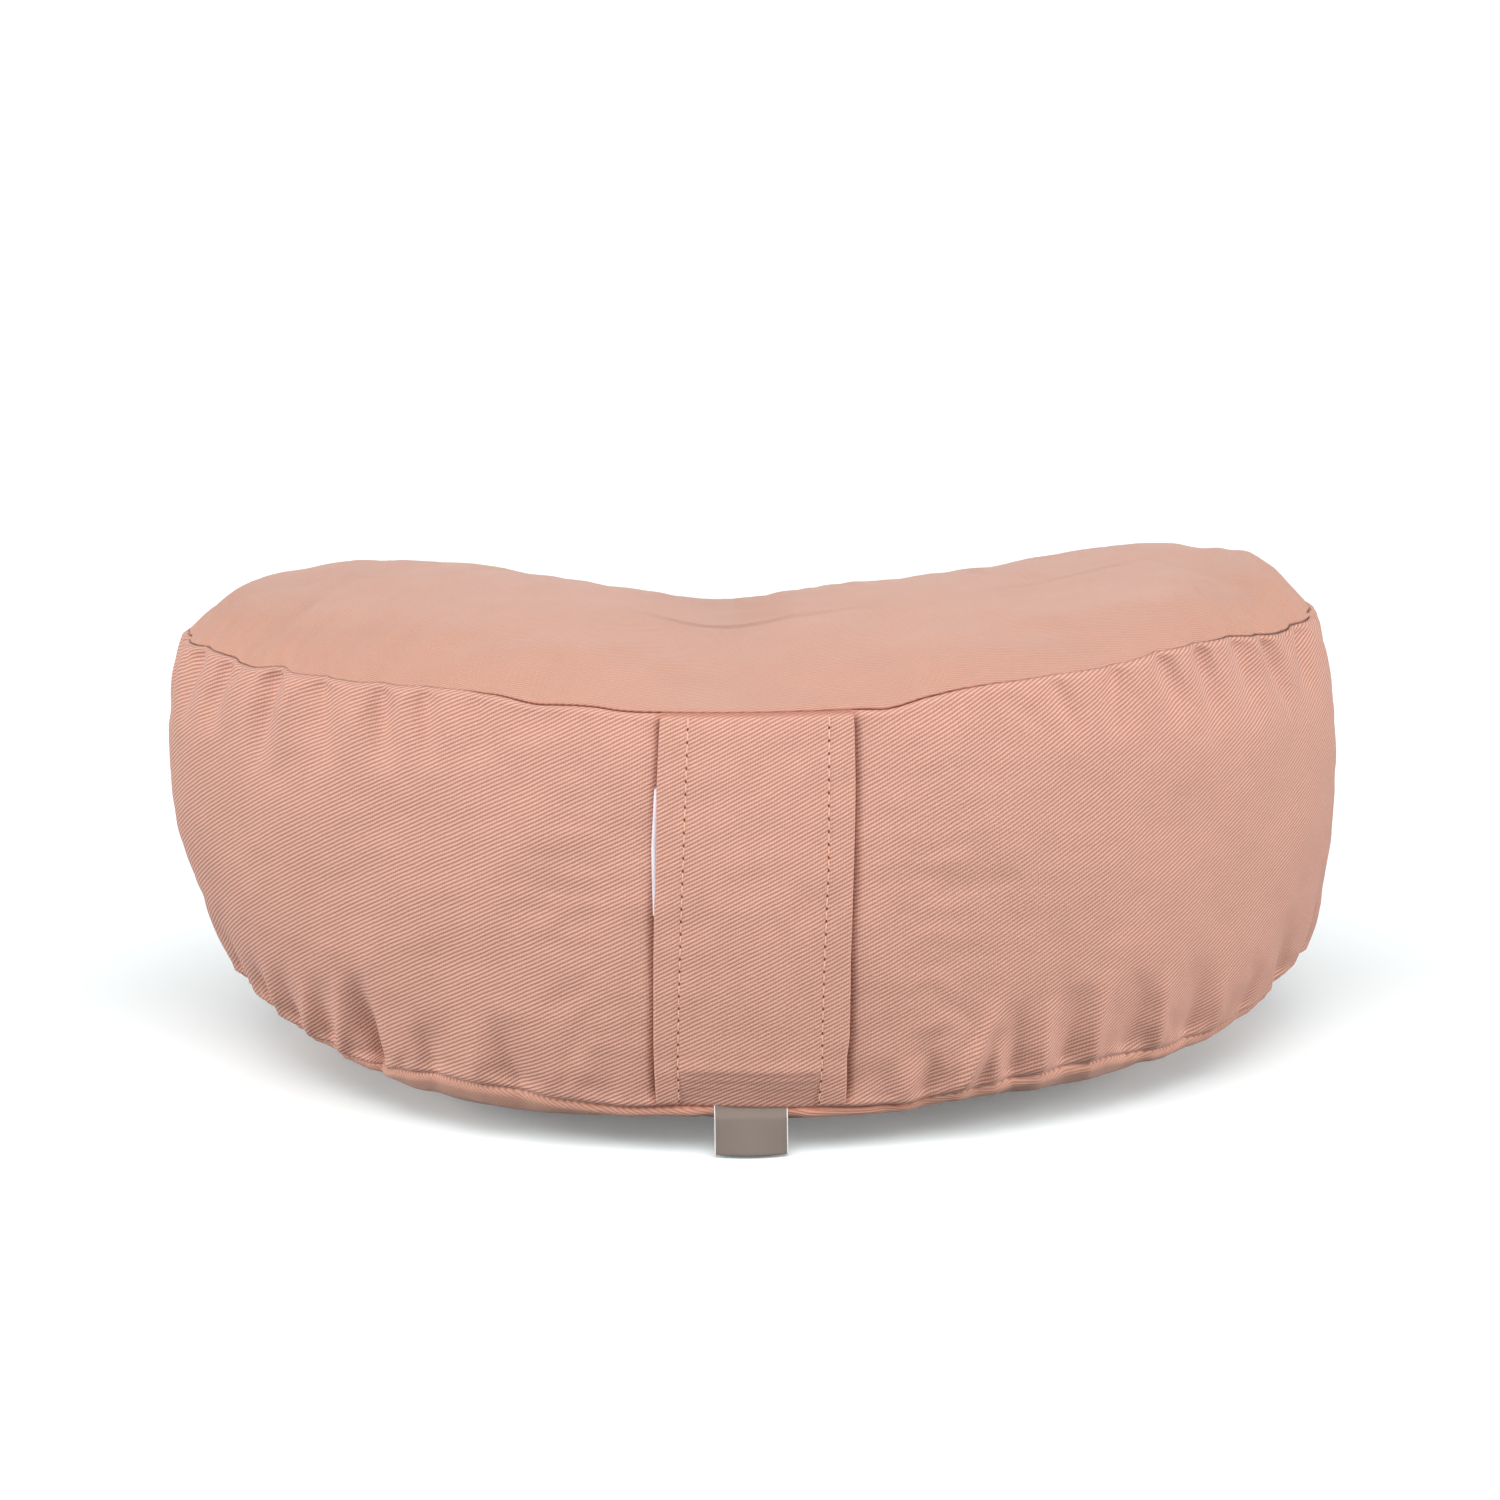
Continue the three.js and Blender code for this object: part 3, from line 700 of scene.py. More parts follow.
# How the cloth settles over the filling: a coarser skin is blown up a little as cloth, held at its seams,
# and the small folds that it makes are carried over to the fine one
settling = {
    "columns": 360,
    "bandRows": 46,
    "topRows": 18,
    "baseRows": 8,
    "frames": 20,
    "foldShare": 0.55,  # how much of its folds is carried over
    "foldHeight": 0.9,  # no fold is let become higher
    "calmTurns": 60,  # how far the general swelling is evened out
    "ridgeFade": (0.35, 0.75),  # no folds where the top's cloth lies flat along its ridge
    "heldTo": 42,  # the cloth is held behind the strap
    "freeFrom": 66,
}
clothSettings = {
    "quality": 6,
    "mass": 0.3,
    "tension_stiffness": 20,
    "compression_stiffness": 20,
    "shear_stiffness": 8,
    "bending_stiffness": 0.4,
    "use_pressure": True,
    "uniform_pressure_force": 4,
    "shrink_min": -0.02,  # the cloth is this much larger than the filled shape
}


def behindStrap(alongs):
    return 1 - smooth(np.abs(alongs), settling["heldTo"], settling["freeFrom"])


def heldWeights(alongs, rowCount, seamRows):
    held = np.zeros((rowCount, len(alongs)))
    held[: seamRows[0] + 1] = 1
    held[seamRows[1]] = 1
    held[seamRows[0]:seamRows[1]] = np.maximum(held[seamRows[0]:seamRows[1]], behindStrap(alongs))
    return np.round(held, 2)


# Sets up the coarse skin as cloth, runs it and returns how far it moved along its normals
def settledMoves():
    columns = settling["columns"]
    alongs = -halfLength + 2 * halfLength * np.arange(columns) / columns
    stations = stationsAt(alongs)
    bases = np.linspace(1, 0, settling["baseRows"] + 1)[:-1, None]
    rises = np.linspace(0, 1, settling["bandRows"] + 1)[:, None]
    tops = np.linspace(0, cushionGrid["topUpTo"], settling["topRows"] + 1)[1:, None]
    grid = np.concatenate(
        [
            basePoint(stations, np.broadcast_to(bases, (len(bases), columns))),
            bandPoint(stations, rises),
            topPoint(stations, np.broadcast_to(tops, (len(tops), columns))),
        ]
    )
    seamRows = (len(bases), len(bases) + settling["bandRows"])
    faces = zoneFaces(0, len(grid), columns, np.zeros((len(grid), columns + 1, 2)))[0]
    faces += fillRing(grid[0], 0, False) + fillRing(grid[-1], (len(grid) - 1) * columns, True)
    mesh = bpy.data.meshes.new("settling")
    mesh.from_pydata((grid.reshape(-1, 3) * mm).tolist(), [], faces)
    skin = addObject("settling", mesh)
    group = skin.vertex_groups.new(name="held")
    held = heldWeights(alongs, len(grid), seamRows).ravel()
    for weight in np.unique(held[held > 0]):
        group.add(np.flatnonzero(held == weight).tolist(), float(weight), "REPLACE")
    cloth = skin.modifiers.new("cloth", "CLOTH")
    cloth.settings.vertex_group_mass = group.name
    for key, value in clothSettings.items():
        setattr(cloth.settings, key, value)
    cloth.settings.effector_weights.gravity = 0
    cloth.collision_settings.use_collision = False
    cloth.point_cache.frame_start = 1
    cloth.point_cache.frame_end = settling["frames"]
    scene = bpy.context.scene
    for frameNumber in range(1, settling["frames"] + 1):
        scene.frame_set(frameNumber)
    evaluated = skin.evaluated_get(bpy.context.evaluated_depsgraph_get())
    after = np.empty(len(mesh.vertices) * 3, np.float32)
    evaluated.data.vertices.foreach_get("co", after)
    moved = ((after.reshape(grid.shape) / mm - grid) * gridNormals(grid)).sum(-1)
    bpy.data.objects.remove(skin)
    scene.frame_set(1)
    return moved, seamRows, behindStrap(alongs)


# Values of a coarse grid at places between its rows and columns, along smooth cubic curves
def between(field, row, column):
    def taps(position, count, wraps):
        first = np.floor(position).astype(int)
        t = position - first
        weights = (
            -0.5 * t + t ** 2 - 0.5 * t ** 3,
            1 - 2.5 * t ** 2 + 1.5 * t ** 3,
            0.5 * t + 2 * t ** 2 - 1.5 * t ** 3,
            -0.5 * t ** 2 + 0.5 * t ** 3,
        )
        spots = [first + step for step in (-1, 0, 1, 2)]
        spots = [spot % count if wraps else np.clip(spot, 0, count - 1) for spot in spots]
        return list(zip(spots, weights))

    acrossColumns = sum(field[:, spot] * weight for spot, weight in taps(column, field.shape[1], True))
    return sum(acrossColumns[spot] * weight[:, None] for spot, weight in taps(row, field.shape[0], False))


# The small folds of the settled cloth on the fine skin's rows and columns
def settledFolds(places, rises, topShares):
    moved, (low, high), held = settledMoves()
    calm = moved.copy()
    for _ in range(settling["calmTurns"]):
        padded = np.pad(calm, ((1, 1), (0, 0)), mode="edge")
        calm = (calm + padded[:-2] + padded[2:] + np.roll(calm, 1, 1) + np.roll(calm, -1, 1)) / 5
    folds = (moved - calm) * (1 - held)
    moves = [round(float(value), 3) for value in (moved.mean(), folds.std())]
    print("cloth settled, its mean move and the spread of its folds in mm:", *moves)
    folds = settling["foldHeight"] * np.tanh(folds * settling["foldShare"] / settling["foldHeight"])
    column = (places + halfLength) / (2 * halfLength) * settling["columns"]
    bandFolds = between(folds[low:high + 1], rises * settling["bandRows"], column)
    topFolds = between(folds[high:], topShares / cushionGrid["topUpTo"] * settling["topRows"], column)
    return bandFolds, topFolds * (1 - smooth(topShares[:, None], *settling["ridgeFade"]))


# Rows of the fine skin, close together near the seams: rises on the band and shares of the panels' way in
def skinRows():
    nearSeam = np.array(cushionGrid["nearSeam"])
    edge = np.concatenate([[0], nearSeam / (fullness["topSeamHeight"] - fullness["baseSeamHeight"])])
    middle = np.linspace(edge[-1], 1 - edge[-1], cushionGrid["bandSteps"])
    rises = np.concatenate([edge[:-1], middle, 1 - edge[-2::-1]])
    top = nearSeam / outline["hornRadius"]
    topInner = np.linspace(top[-1], cushionGrid["topUpTo"], cushionGrid["topSteps"])
    base = top * cushionGrid["baseSpread"]
    baseInner = np.linspace(base[-1], 1, cushionGrid["baseSteps"])
    return rises, np.concatenate([top[:-1], topInner]), np.concatenate([base[:-1], baseInner])


# Places on the cloth in metres: the panels' cloth lies in plan, the band's runs round, level at one height
def clothMaps(grid, stations, seamRows, rises):
    closed = np.concatenate([grid, grid[:, :1]], 1)
    closedNormals = np.concatenate([stations["normal"], stations["normal"][:1]])
    turn = math.radians(cushionGrid["panelTurn"])
    climb = closed[..., 2:]
    onTop = np.arange(len(grid))[:, None, None] > seamRows[1]
    unrolled = closed[..., :2] + closedNormals * np.where(onTop, climb[-1].max() - climb, climb)
    turning = np.array([[math.cos(turn), math.sin(turn)], [-math.sin(turn), math.cos(turn)]])
    planUv = unrolled @ turning * mm
    lengths = np.linalg.norm(np.diff(closed, axis=0), axis=-1)
    heights = np.concatenate([np.zeros((1, closed.shape[1])), np.cumsum(lengths, 0)]) * mm
    climbed = heights[seamRows[0]:seamRows[1] + 1]
    level = (cushionGrid["weaveLevel"] - stations["baseZ"]) / (stations["topZ"] - stations["baseZ"])
    atLevel = [np.interp(part, rises, climbed[:, k]) for k, part in enumerate(np.append(level, level[0]))]
    around = np.append(stations["along"], 2 * halfLength + stations["along"][0]) * mm
    bandUv = np.stack([np.broadcast_to(around, climbed.shape), climbed - np.array(atLevel)], -1)
    return planUv, bandUv


def makeCushion():
    places = columnPlaces()
    count = len(places)
    stations = stationsAt(places)
    rises, topShares, baseShares = skinRows()
    bandGrid = bandPoint(stations, rises[:, None])
    topGrid = topPoint(stations, np.broadcast_to(topShares[:, None], (len(topShares), count)))
    baseGrid = basePoint(stations, np.broadcast_to(baseShares[::-1, None], (len(baseShares), count)))
    bandFolds, topFolds = settledFolds(places, rises, topShares)
    bandGrid = bandGrid + gridNormals(bandGrid) * bandFolds[..., None]
    topGrid = topGrid + gridNormals(topGrid) * topFolds[..., None]
    grid = np.concatenate([baseGrid, bandGrid, topGrid])
    seamRows = (len(baseShares), len(baseShares) + len(rises) - 1)
    grid, paintedShade = finishSurface(grid, stations, seamRows)
    shift = seatShift(grid.reshape(-1, 3))
    grid = grid + shift
    planUv, bandUv = clothMaps(grid, stations, seamRows, rises)
    zones = [
        zoneFaces(0, len(baseShares) + 1, count, planUv),
        zoneFaces(seamRows[0], len(rises), count, bandUv),
        zoneFaces(seamRows[1], len(topShares) + 1, count, planUv[seamRows[1]:]),
    ]
    faces = sum((zone[0] for zone in zones), [])
    uvs = [zone[1] for zone in zones]
    for row, faceUp in ((0, False), (len(grid) - 1, True)):
        extra = fillRing(grid[row], row * count, faceUp)
        faces += extra
        uvs.append(planUv[row, np.array(extra).ravel() - row * count])
    cover = meshObject("cushion_cover", grid, faces, np.concatenate(uvs), twill)
    rows = np.arange(len(grid))
    setAttribute(cover, "panel", np.repeat((rows < seamRows[0]) | (rows > seamRows[1]), count))
    setAttribute(cover, "paintedShade", paintedShade)
    return cover, stations, grid, seamRows, shift


# Directions that point out of the surface, from the grid itself
def gridNormals(grid):
    acrossStep = np.roll(grid, -1, 1) - np.roll(grid, 1, 1)
    upStep = np.gradient(grid, axis=0)
    normals = np.cross(acrossStep, upStep)
    lengths = np.linalg.norm(normals, axis=-1, keepdims=True)
    return normals / np.maximum(lengths, 1e-9)  # so that nothing is divided by zero


# Adds the soft unevenness, the grooves of both seams and the rolled cloth beside them, and tells where
# shade is painted on the cloth, in a groove or in the fold beside the strap
def finishSurface(grid, stations, seamRows):
    normals = gridNormals(grid)
    along = stations["along"]
    rows = np.arange(len(grid))[:, None]
    onTop = rows > seamRows[1]
    steps = np.linalg.norm(np.diff(grid, axis=0), axis=-1)
    walked = np.concatenate([np.zeros((1, grid.shape[1])), np.cumsum(steps, 0)])
    fromSeam = np.minimum(np.abs(walked - walked[seamRows[0]]), np.abs(walked - walked[seamRows[1]]))
    lift = unevenness["lumpHeight"] * lumps(grid, unevenness["lumpSize"], unevenness["lumpSeed"])
    lift = lift * np.where(onTop, unevenness["lumpsOnTop"], 1)
    ripples = lumps(grid, unevenness["rippleSize"], unevenness["rippleSeed"])
    lift = lift + unevenness["rippleHeight"] * ripples
    away = smooth(fromSeam, 0, unevenness["fullAway"])
    off = smooth(grid[..., 2], *unevenness["fullAbove"])
    grid = grid + normals * (lift * away * off)[..., None]
    rise = np.clip((grid[..., 2] - stations["baseZ"]) / (stations["topZ"] - stations["baseZ"]), 0, 1)
    onBand = ~onTop & (rows >= seamRows[0])
    # Painted shade in the fold beside the strap, and below it in the seams' grooves
    paintedShade = band["paintedShadeBeside"] * (1 - smooth(besideStrap(along, rise), *band["paintedShadeBesideRun"])) * onBand
    for row, upward, openness in ((seamRows[0], -1, baseSeamOpen), (seamRows[1], 1, topSeamOpen)):
        distance = np.abs(walked - walked[row])
        share = lineAt(openness, along)
        groove = share * band["grooveDepth"] * bump(distance, 0, band["grooveWidth"])
        roll = share * band["rollHeight"] * bump(distance, band["rollAt"], band["rollWidth"])
        if upward < 0:
            lip = lineAt(baseLip, along) * band["lipHeight"]
            roll = roll + (rows < row) * lip * bump(distance, band["lipAt"], band["lipWidth"])
        opening = grooveDirection(stations["normal"], upward)
        grid = grid - opening * groove[..., None] + normals * roll[..., None]
        paintedShade = np.maximum(paintedShade, np.minimum(share, 1) * bump(distance, 0, band["paintedShadeWidth"]))
    return grid, paintedShade


cushion, cushionStations, cushionPoints, seamRows, shift = makeCushion()
print("cushion made:", len(cushion.data.polygons), "faces")
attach(cushion, "root")
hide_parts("cushion")


# A closed skin over rings that run round a thin section, its first half on one side and its second half
# back along the other; the two ends are closed by joining the halves
def closedTube(rings, uvGrid):
    rowCount, count = rings.shape[:2]
    faces, uvs = zoneFaces(0, rowCount, count, uvGrid)
    capUvs = []
    for row, outwards in ((0, False), (rowCount - 1, True)):
        for k in range(count // 2 - 1):
            quad = [k, k + 1, count - 2 - k, count - 1 - k]
            quad = quad if outwards else quad[::-1]
            faces.append([row * count + corner for corner in quad])
            capUvs.append(uvGrid[row, quad])
    return faces, np.concatenate([uvs, *capUvs])


def tubeUv(rings):
    closed = np.concatenate([rings, rings[:, :1]], 1)
    around = np.linalg.norm(np.diff(closed, axis=1), axis=-1)
    u = np.concatenate([np.zeros((len(rings), 1)), np.cumsum(around, 1)], 1)
    middle = rings.shape[1] // 4
    steps = np.linalg.norm(np.diff(rings[:, middle], axis=0), axis=-1)
    v = np.broadcast_to(np.concatenate([[0], np.cumsum(steps)])[:, None], u.shape)
    return np.stack([u, v], -1) * mm


# The carrying strap: a doubled strip with turned and topstitched edges, caught in both seams
strap = {
    "thickness": 1.4,
    "hemThickness": 2,
    "hemStep": (-0.6, 0.8),  # from the stitch line, where the hem goes over into the doubled cloth
    "tuck": 1.3,  # the ends turn down into the seams over this length
    "tuckDepth": 1.6,
    "paintedShadeEnds": 0.9,  # painted shade: the cloth is painted darker and redder this near to its ends, where they turn into the seams
    "stitchSink": 0.45,
    "stitchWidth": 1.3,
    "rippleHeight": 0.1,
    "rippleSize": 13,
    "rippleSeed": 23,
    "columns": (0, 0.14, 0.86, 1),  # places of the edges and the stitch lines across it
    "columnCounts": (13, 56, 13),
    "rowCount": 220,
    "edgeTurns": (25, 50, 75),  # degrees, the points that round its edges
}
# How far the strap stands out from the filled band, distance from the base seam: middle and hems
strapOut = {
    0: -0.3, 1.5: -1.5, 3: -1.45, 6: -1, 9: -0.36, 12: 0.36, 15: 1, 20: 0.6, 30: 0.4, 125: 0.4, 160: 0.7,
}
hemOut = {0: 0, 3: 0.1, 8: 0.3, 14: 0.7, 20: 0.5, 30: 0.4, 125: 0.4, 160: 0.7}
strapHeight = fullness["topSeamHeight"] - fullness["strapDrop"] - fullness["baseSeamHeight"]


# Places across the strap, 0 at its left edge and 1 at its right one, as distances along the seam
def strapAlong(across, rise):
    lines = np.stack([strapLine(name, rise) for name in strapColumns[1:]], -1)
    knots = strap["columns"]
    step = np.clip(np.searchsorted(knots, across, side="right") - 1, 0, 2)
    low = np.take(knots, step)
    high = np.take(knots, step + 1)
    lowLine = np.take_along_axis(lines, step[..., None], -1)[..., 0]
    highLine = np.take_along_axis(lines, step[..., None] + 1, -1)[..., 0]
    return mix(lowLine, highLine, (across - low) / (high - low))


# A point of the strap's face, and its outward direction
def strapFace(across, rise, under=0.0):
    across, rise = np.broadcast_arrays(np.asarray(across, float), np.asarray(rise, float))
    along = strapAlong(across, rise)
    stations = stationsAt(along)
    height = stations["topZ"] - stations["baseZ"]
    fromBase = rise * height
    leftEdge, leftStitch, rightStitch, rightEdge = [strapLine(name, rise) for name in strapColumns[1:]]
    inner = np.maximum(along - leftEdge, 0)
    outer = np.maximum(rightEdge - along, 0)
    hemWidth = np.where(across < 0.5, leftStitch - leftEdge, rightEdge - rightStitch)
    stepFrom, stepTo = strap["hemStep"]
    hem = 1 - smooth(np.minimum(inner, outer), hemWidth + stepFrom, hemWidth + stepTo)
    lift = mix(curveAt(strapOut, fromBase), curveAt(hemOut, fromBase), hem)
    for line in (leftStitch, rightStitch):
        lift = lift - strap["stitchSink"] * bump(along, line, strap["stitchWidth"])
    ripplePlace = np.stack([along, fromBase, np.zeros(along.shape)], -1)
    lift = lift + strap["rippleHeight"] * lumps(ripplePlace, strap["rippleSize"], strap["rippleSeed"])
    tuck = np.clip(1 - np.minimum(fromBase, (1 - rise) * height) / strap["tuck"], 0, 1)
    lift = lift - (lift + strap["tuckDepth"]) * (1 - np.sqrt(1 - tuck * tuck))
    thickness = mix(strap["thickness"], strap["hemThickness"], hem)
    point = bandPoint(stations, rise, lift - under * thickness, gathered=False, recessed=False)
    return point, stations["normal"]


def makeStrap():
    counts = strap["columnCounts"]
    knots = strap["columns"]
    spans = [np.linspace(knots[k], knots[k + 1], counts[k] + 1)[:-1] for k in range(len(counts))]
    across = np.concatenate([*spans, [1]])
    rises = np.linspace(0, 1, strap["rowCount"] + 1)[:, None]
    front, normal = strapFace(across, rises)
    back, _ = strapFace(across, rises, under=1)
    radius = strap["hemThickness"] / 2
    facing = withClimb(normal)
    sideways = np.stack([-facing[..., 1], facing[..., 0], facing[..., 2]], -1)

    def rounding(column, outward, degrees):
        centre = (front[:, column] + back[:, column]) / 2
        turns = np.radians(degrees)[None, :, None]
        face, side = facing[:, column, None], sideways[:, column, None] * outward
        return centre[:, None] + radius * (face * np.cos(turns) + side * np.sin(turns))

    near = strap["edgeTurns"]
    far = [180 - turn for turn in near[::-1]]
    sections = [
        rounding(0, -1, near[::-1]),
        front,
        rounding(-1, 1, near),
        rounding(-1, 1, far),
        back[:, ::-1],
        rounding(0, -1, far[::-1]),
    ]
    rings = np.concatenate(sections, 1) + shift
    faces, uvs = closedTube(rings, tubeUv(rings))
    piece = meshObject("carrying_strap", rings, faces, uvs, twill)
    # Painted shade: the strap's cloth darker and redder near its ends
    fromEnd = np.minimum(rises, 1 - rises) * strapHeight
    setAttribute(piece, "paintedShade", bump(fromEnd, 0, strap["paintedShadeEnds"]) * np.ones(rings.shape[1]))
    return piece


strapPiece = makeStrap()
print("strap made:", len(strapPiece.data.polygons), "faces")
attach(strapPiece, "root")
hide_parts("handle_strap")

# The tag: a woven ribbon folded in two, hanging from the base seam
tag = {
    "width": 26,
    "drop": 16.2,
    "layer": 0.6,
    "fold": 0.5,
    "bow": 2.5,
    "clear": 0.35,  # it hangs this far in front of the seam and below it
    "tuckIn": 2.4,  # it comes out of the seam under the strap
    "tuckRun": (-2.8, 0.6),
    "at": -3.8,
    "into": 1.6,  # how far its ends reach into the seam
    "steps": 40,
    "lengthSteps": 22,
    "foldSteps": 10,
}
tagRibbon = {
    "color": (0.178, 0.143, 0.121),
    "selvedge": (0.8, 0.78, 0.77),
    "selvedgeWidth": 0.3,
    "ribPitch": 0.36,
    "threadPitch": 0.5,
    "relief": 0.05,
}


def tagMaterial():
    material, add = newMaterial("tagRibbon")
    axes = add("ShaderNodeSeparateXYZ", {0: add("ShaderNodeUVMap", uv_map="cloth")}).node.outputs
    fromMiddle = calc(add, "ABSOLUTE", axes[1])
    isEdge = calc(add, "GREATER_THAN", fromMiddle, (tag["width"] / 2 - tagRibbon["selvedgeWidth"]) * mm)
    ribs = calc(add, "MULTIPLY", axes[0], 2 * math.pi / (tagRibbon["ribPitch"] * mm))
    threads = calc(add, "MULTIPLY", axes[1], 2 * math.pi / (tagRibbon["threadPitch"] * mm))
    weave = calc(add, "MULTIPLY", calc(add, "SINE", ribs), calc(add, "SINE", threads))
    grain = noise(add, add("ShaderNodeTexCoord", output="Object"), 60000.0, 3.0)
    height = calc(add, "ADD", weave, grain)
    tone = add("ShaderNodeMapRange", {0: height, 1: -1.0, 2: 2.0, 3: 0.86, 4: 1.14})
    body = scaledColor(add, tagRibbon["color"], tone)
    colors = {0: isEdge, 6: body, 7: (*tagRibbon["selvedge"], 1)}
    mixed = add("ShaderNodeMix", colors, output=2, data_type="RGBA")
    looks = {"Base Color": mixed, "Roughness": 0.7, "Sheen Weight": 0.15, "Specular IOR Level": 0.3}
    addShader(add, looks, height, tagRibbon["relief"])
    return material


def makeTag():
    inner = tag["fold"] / 2
    outer = tag["layer"] + inner
    bottom = outer - tag["drop"]

    # One of its two faces, from the seam down round the fold and up again
    def halfSection(radius):
        down = np.linspace(tag["into"], bottom, tag["lengthSteps"])
        turns = np.linspace(math.pi, 2 * math.pi, tag["foldSteps"])[1:-1]
        y = np.concatenate([np.full(len(down), -radius), radius * np.cos(turns), np.full(len(down), radius)])
        z = np.concatenate([down, bottom + radius * np.sin(turns), down[::-1]])
        return np.stack([y, z], -1)

    section = np.concatenate([halfSection(outer), halfSection(inner)[::-1]])
    across = np.linspace(-0.5, 0.5, tag["steps"] + 1) * tag["width"]
    stations = stationsAt(np.array([tag["at"]]))
    seam = bandPoint(stations, np.array([0.0]), tag["clear"] + outer)[0] + shift
    seam = seam - np.array([0, 0, tag["clear"]])
    lower = np.clip(-section[:, 1] / tag["drop"], 0, 1)
    aside = across / (tag["width"] / 2)
    y = section[None, :, 0] - tag["bow"] * lower[None] * (1 - aside[:, None] ** 2)
    y = y + tag["tuckIn"] * smooth(section[:, 1], *tag["tuckRun"])
    rings = np.stack(np.broadcast_arrays(across[:, None], y, section[:, 1]), -1)
    steps = np.linalg.norm(np.diff(np.concatenate([section, section[:1]]), axis=0), axis=-1)
    u = np.concatenate([[0], np.cumsum(steps)])
    uvGrid = np.stack(np.broadcast_arrays(u[None], across[:, None]), -1) * mm
    faces, uvs = closedTube(rings, uvGrid)
    piece = meshObject("folded_tag", rings + seam, faces, uvs, tagMaterial())
    turnOutwards(piece)
    return piece


# Turns every face of a closed piece outwards
def turnOutwards(piece):
    work = bmesh.new()
    work.from_mesh(piece.data)
    bmesh.ops.recalc_face_normals(work, faces=work.faces)
    work.to_mesh(piece.data)
    work.free()


tagPiece = makeTag()
print("tag made:", len(tagPiece.data.polygons), "faces")
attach(tagPiece, "root")
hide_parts("seam_tag")

# The care label: a plain satin ribbon behind the strap, whose bowed left edge looks out
label = {
    "left": (-36.3, -36.6, -35.6),  # along the seam, at its lower edge, middle and upper edge
    "right": -6,
    "low": 0.5,  # shares of the band's height
    "high": 0.84,
    "behind": 0.25,
    "thickness": 0.5,
    "columns": 24,
    "rows": 40,
    "color": (0.74, 0.7, 0.78),
    "relief": 0.03,
}


def labelMaterial():
    material, add = newMaterial("labelSatin")
    place = add("ShaderNodeUVMap", uv_map="cloth")
    stretched = add("ShaderNodeMapping", {"Vector": place, "Scale": (300.0, 6000.0, 1.0)})
    floats = noise(add, stretched, 1.0, 2.0)
    tone = add("ShaderNodeMapRange", {0: floats, 3: 0.94, 4: 1.04})
    color = scaledColor(add, label["color"], tone)
    looks = {"Base Color": color, "Roughness": 0.42, "Specular IOR Level": 0.5, "Sheen Weight": 0.1}
    addShader(add, looks, floats, label["relief"])
    return material


def makeLabel():
    share = np.linspace(0, 1, label["rows"] + 1)[:, None]
    left = np.interp(share, (0, 0.5, 1), label["left"])
    along = mix(left, label["right"], np.linspace(0, 1, label["columns"] + 1)[None])
    rise = np.broadcast_to(mix(label["low"], label["high"], share), along.shape)
    stations = stationsAt(along)
    back = bandPoint(stations, rise, label["behind"], gathered=False)
    front = bandPoint(stations, rise, label["behind"] + label["thickness"], gathered=False)
    rings = np.concatenate([front, back[:, ::-1]], 1) + shift
    faces, uvs = closedTube(rings, tubeUv(rings))
    piece = meshObject("care_label_satin", rings, faces, uvs, labelMaterial())
    turnOutwards(piece)
    return piece


labelPiece = makeLabel()
print("label made:", len(labelPiece.data.polygons), "faces")
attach(labelPiece, "root")
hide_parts("care_label")

# Rows of stitches: one small shape at every step of a path, turned by the path's outward direction
topStitch = {"pitch": 4.46, "length": 3.1, "width": 0.5, "arch": 0.35, "slant": 0, "jitter": 5, "seed": 4}
needleHole = {"pitch": 4.46, "length": 1.3, "width": 1, "arch": 0.3, "slant": 0, "jitter": 12, "seed": 9}
seamStitch = {"pitch": 3.7, "length": 1.8, "width": 0.4, "arch": 0.3, "slant": 58, "jitter": 10, "seed": 6}
# Where the rows run, and how far off the cloth they lie
stitchRuns = {
    "strapFrom": 4.5,  # from the base seam
    "strapUpTo": 3.0,  # from the top seam
    "strapPoints": 160,
    "stitchLift": -0.12,
    "holeLift": -0.02,
    "seamFrom": -540,  # along the seam
    "seamUpTo": 545,
    "seamLift": -1.1,
}


def rowTree(name, shape):
    tree = bpy.data.node_groups.new(name, "GeometryNodeTree")
    add = nodeAdder(tree)
    sockets = {"Path": "Geometry"}
    sockets.update({size: "Float" for size in ("Pitch", "Length", "Width", "Arch", "Slant", "Jitter")})
    sockets.update({"Seed": "Int", "Finish": "Material"})
    for title, kind in sockets.items():
        tree.interface.new_socket(name=title, in_out="INPUT", socket_type="NodeSocket" + kind)
    tree.interface.new_socket(name="Row", in_out="OUTPUT", socket_type="NodeSocketGeometry")
    given = add("NodeGroupInput").node.outputs
    curve = add("GeometryNodeMeshToCurve", {0: given["Path"]})
    spacing = {"Curve": curve, "Length": given["Pitch"]}
    spaced = add("GeometryNodeResampleCurve", spacing, mode="LENGTH")
    piece = shape(add, given)
    tangent = add("GeometryNodeInputTangent")
    outward = add("GeometryNodeInputNamedAttribute", {0: "outward"}, data_type="FLOAT_VECTOR")
    turned = add("FunctionNodeAlignRotationToVector", {"Vector": tangent}, axis="X")
    facing = {"Rotation": turned, "Vector": outward}
    turned = add("FunctionNodeAlignRotationToVector", facing, axis="Z", pivot_axis="X")
    limits = {2: -1.0, 3: 1.0, "Seed": given["Seed"]}
    draw = add("FunctionNodeRandomValue", limits, output=1, data_type="FLOAT")
    slant = calc(add, "MULTIPLY_ADD", draw, given["Jitter"], given["Slant"])
    angles = add("ShaderNodeCombineXYZ", {2: slant})
    spin = add("FunctionNodeEulerToRotation", {0: angles})
    turned = add("FunctionNodeRotateRotation", {0: turned, 1: spin}, rotation_space="LOCAL")
    planting = {"Points": spaced, "Instance": piece, "Rotation": turned}
    planted = add("GeometryNodeInstanceOnPoints", planting)
    real = add("GeometryNodeRealizeInstances", {0: planted})
    finished = add("GeometryNodeSetMaterial", {"Geometry": real, "Material": given["Finish"]})
    add("NodeGroupOutput", {0: finished})
    return tree


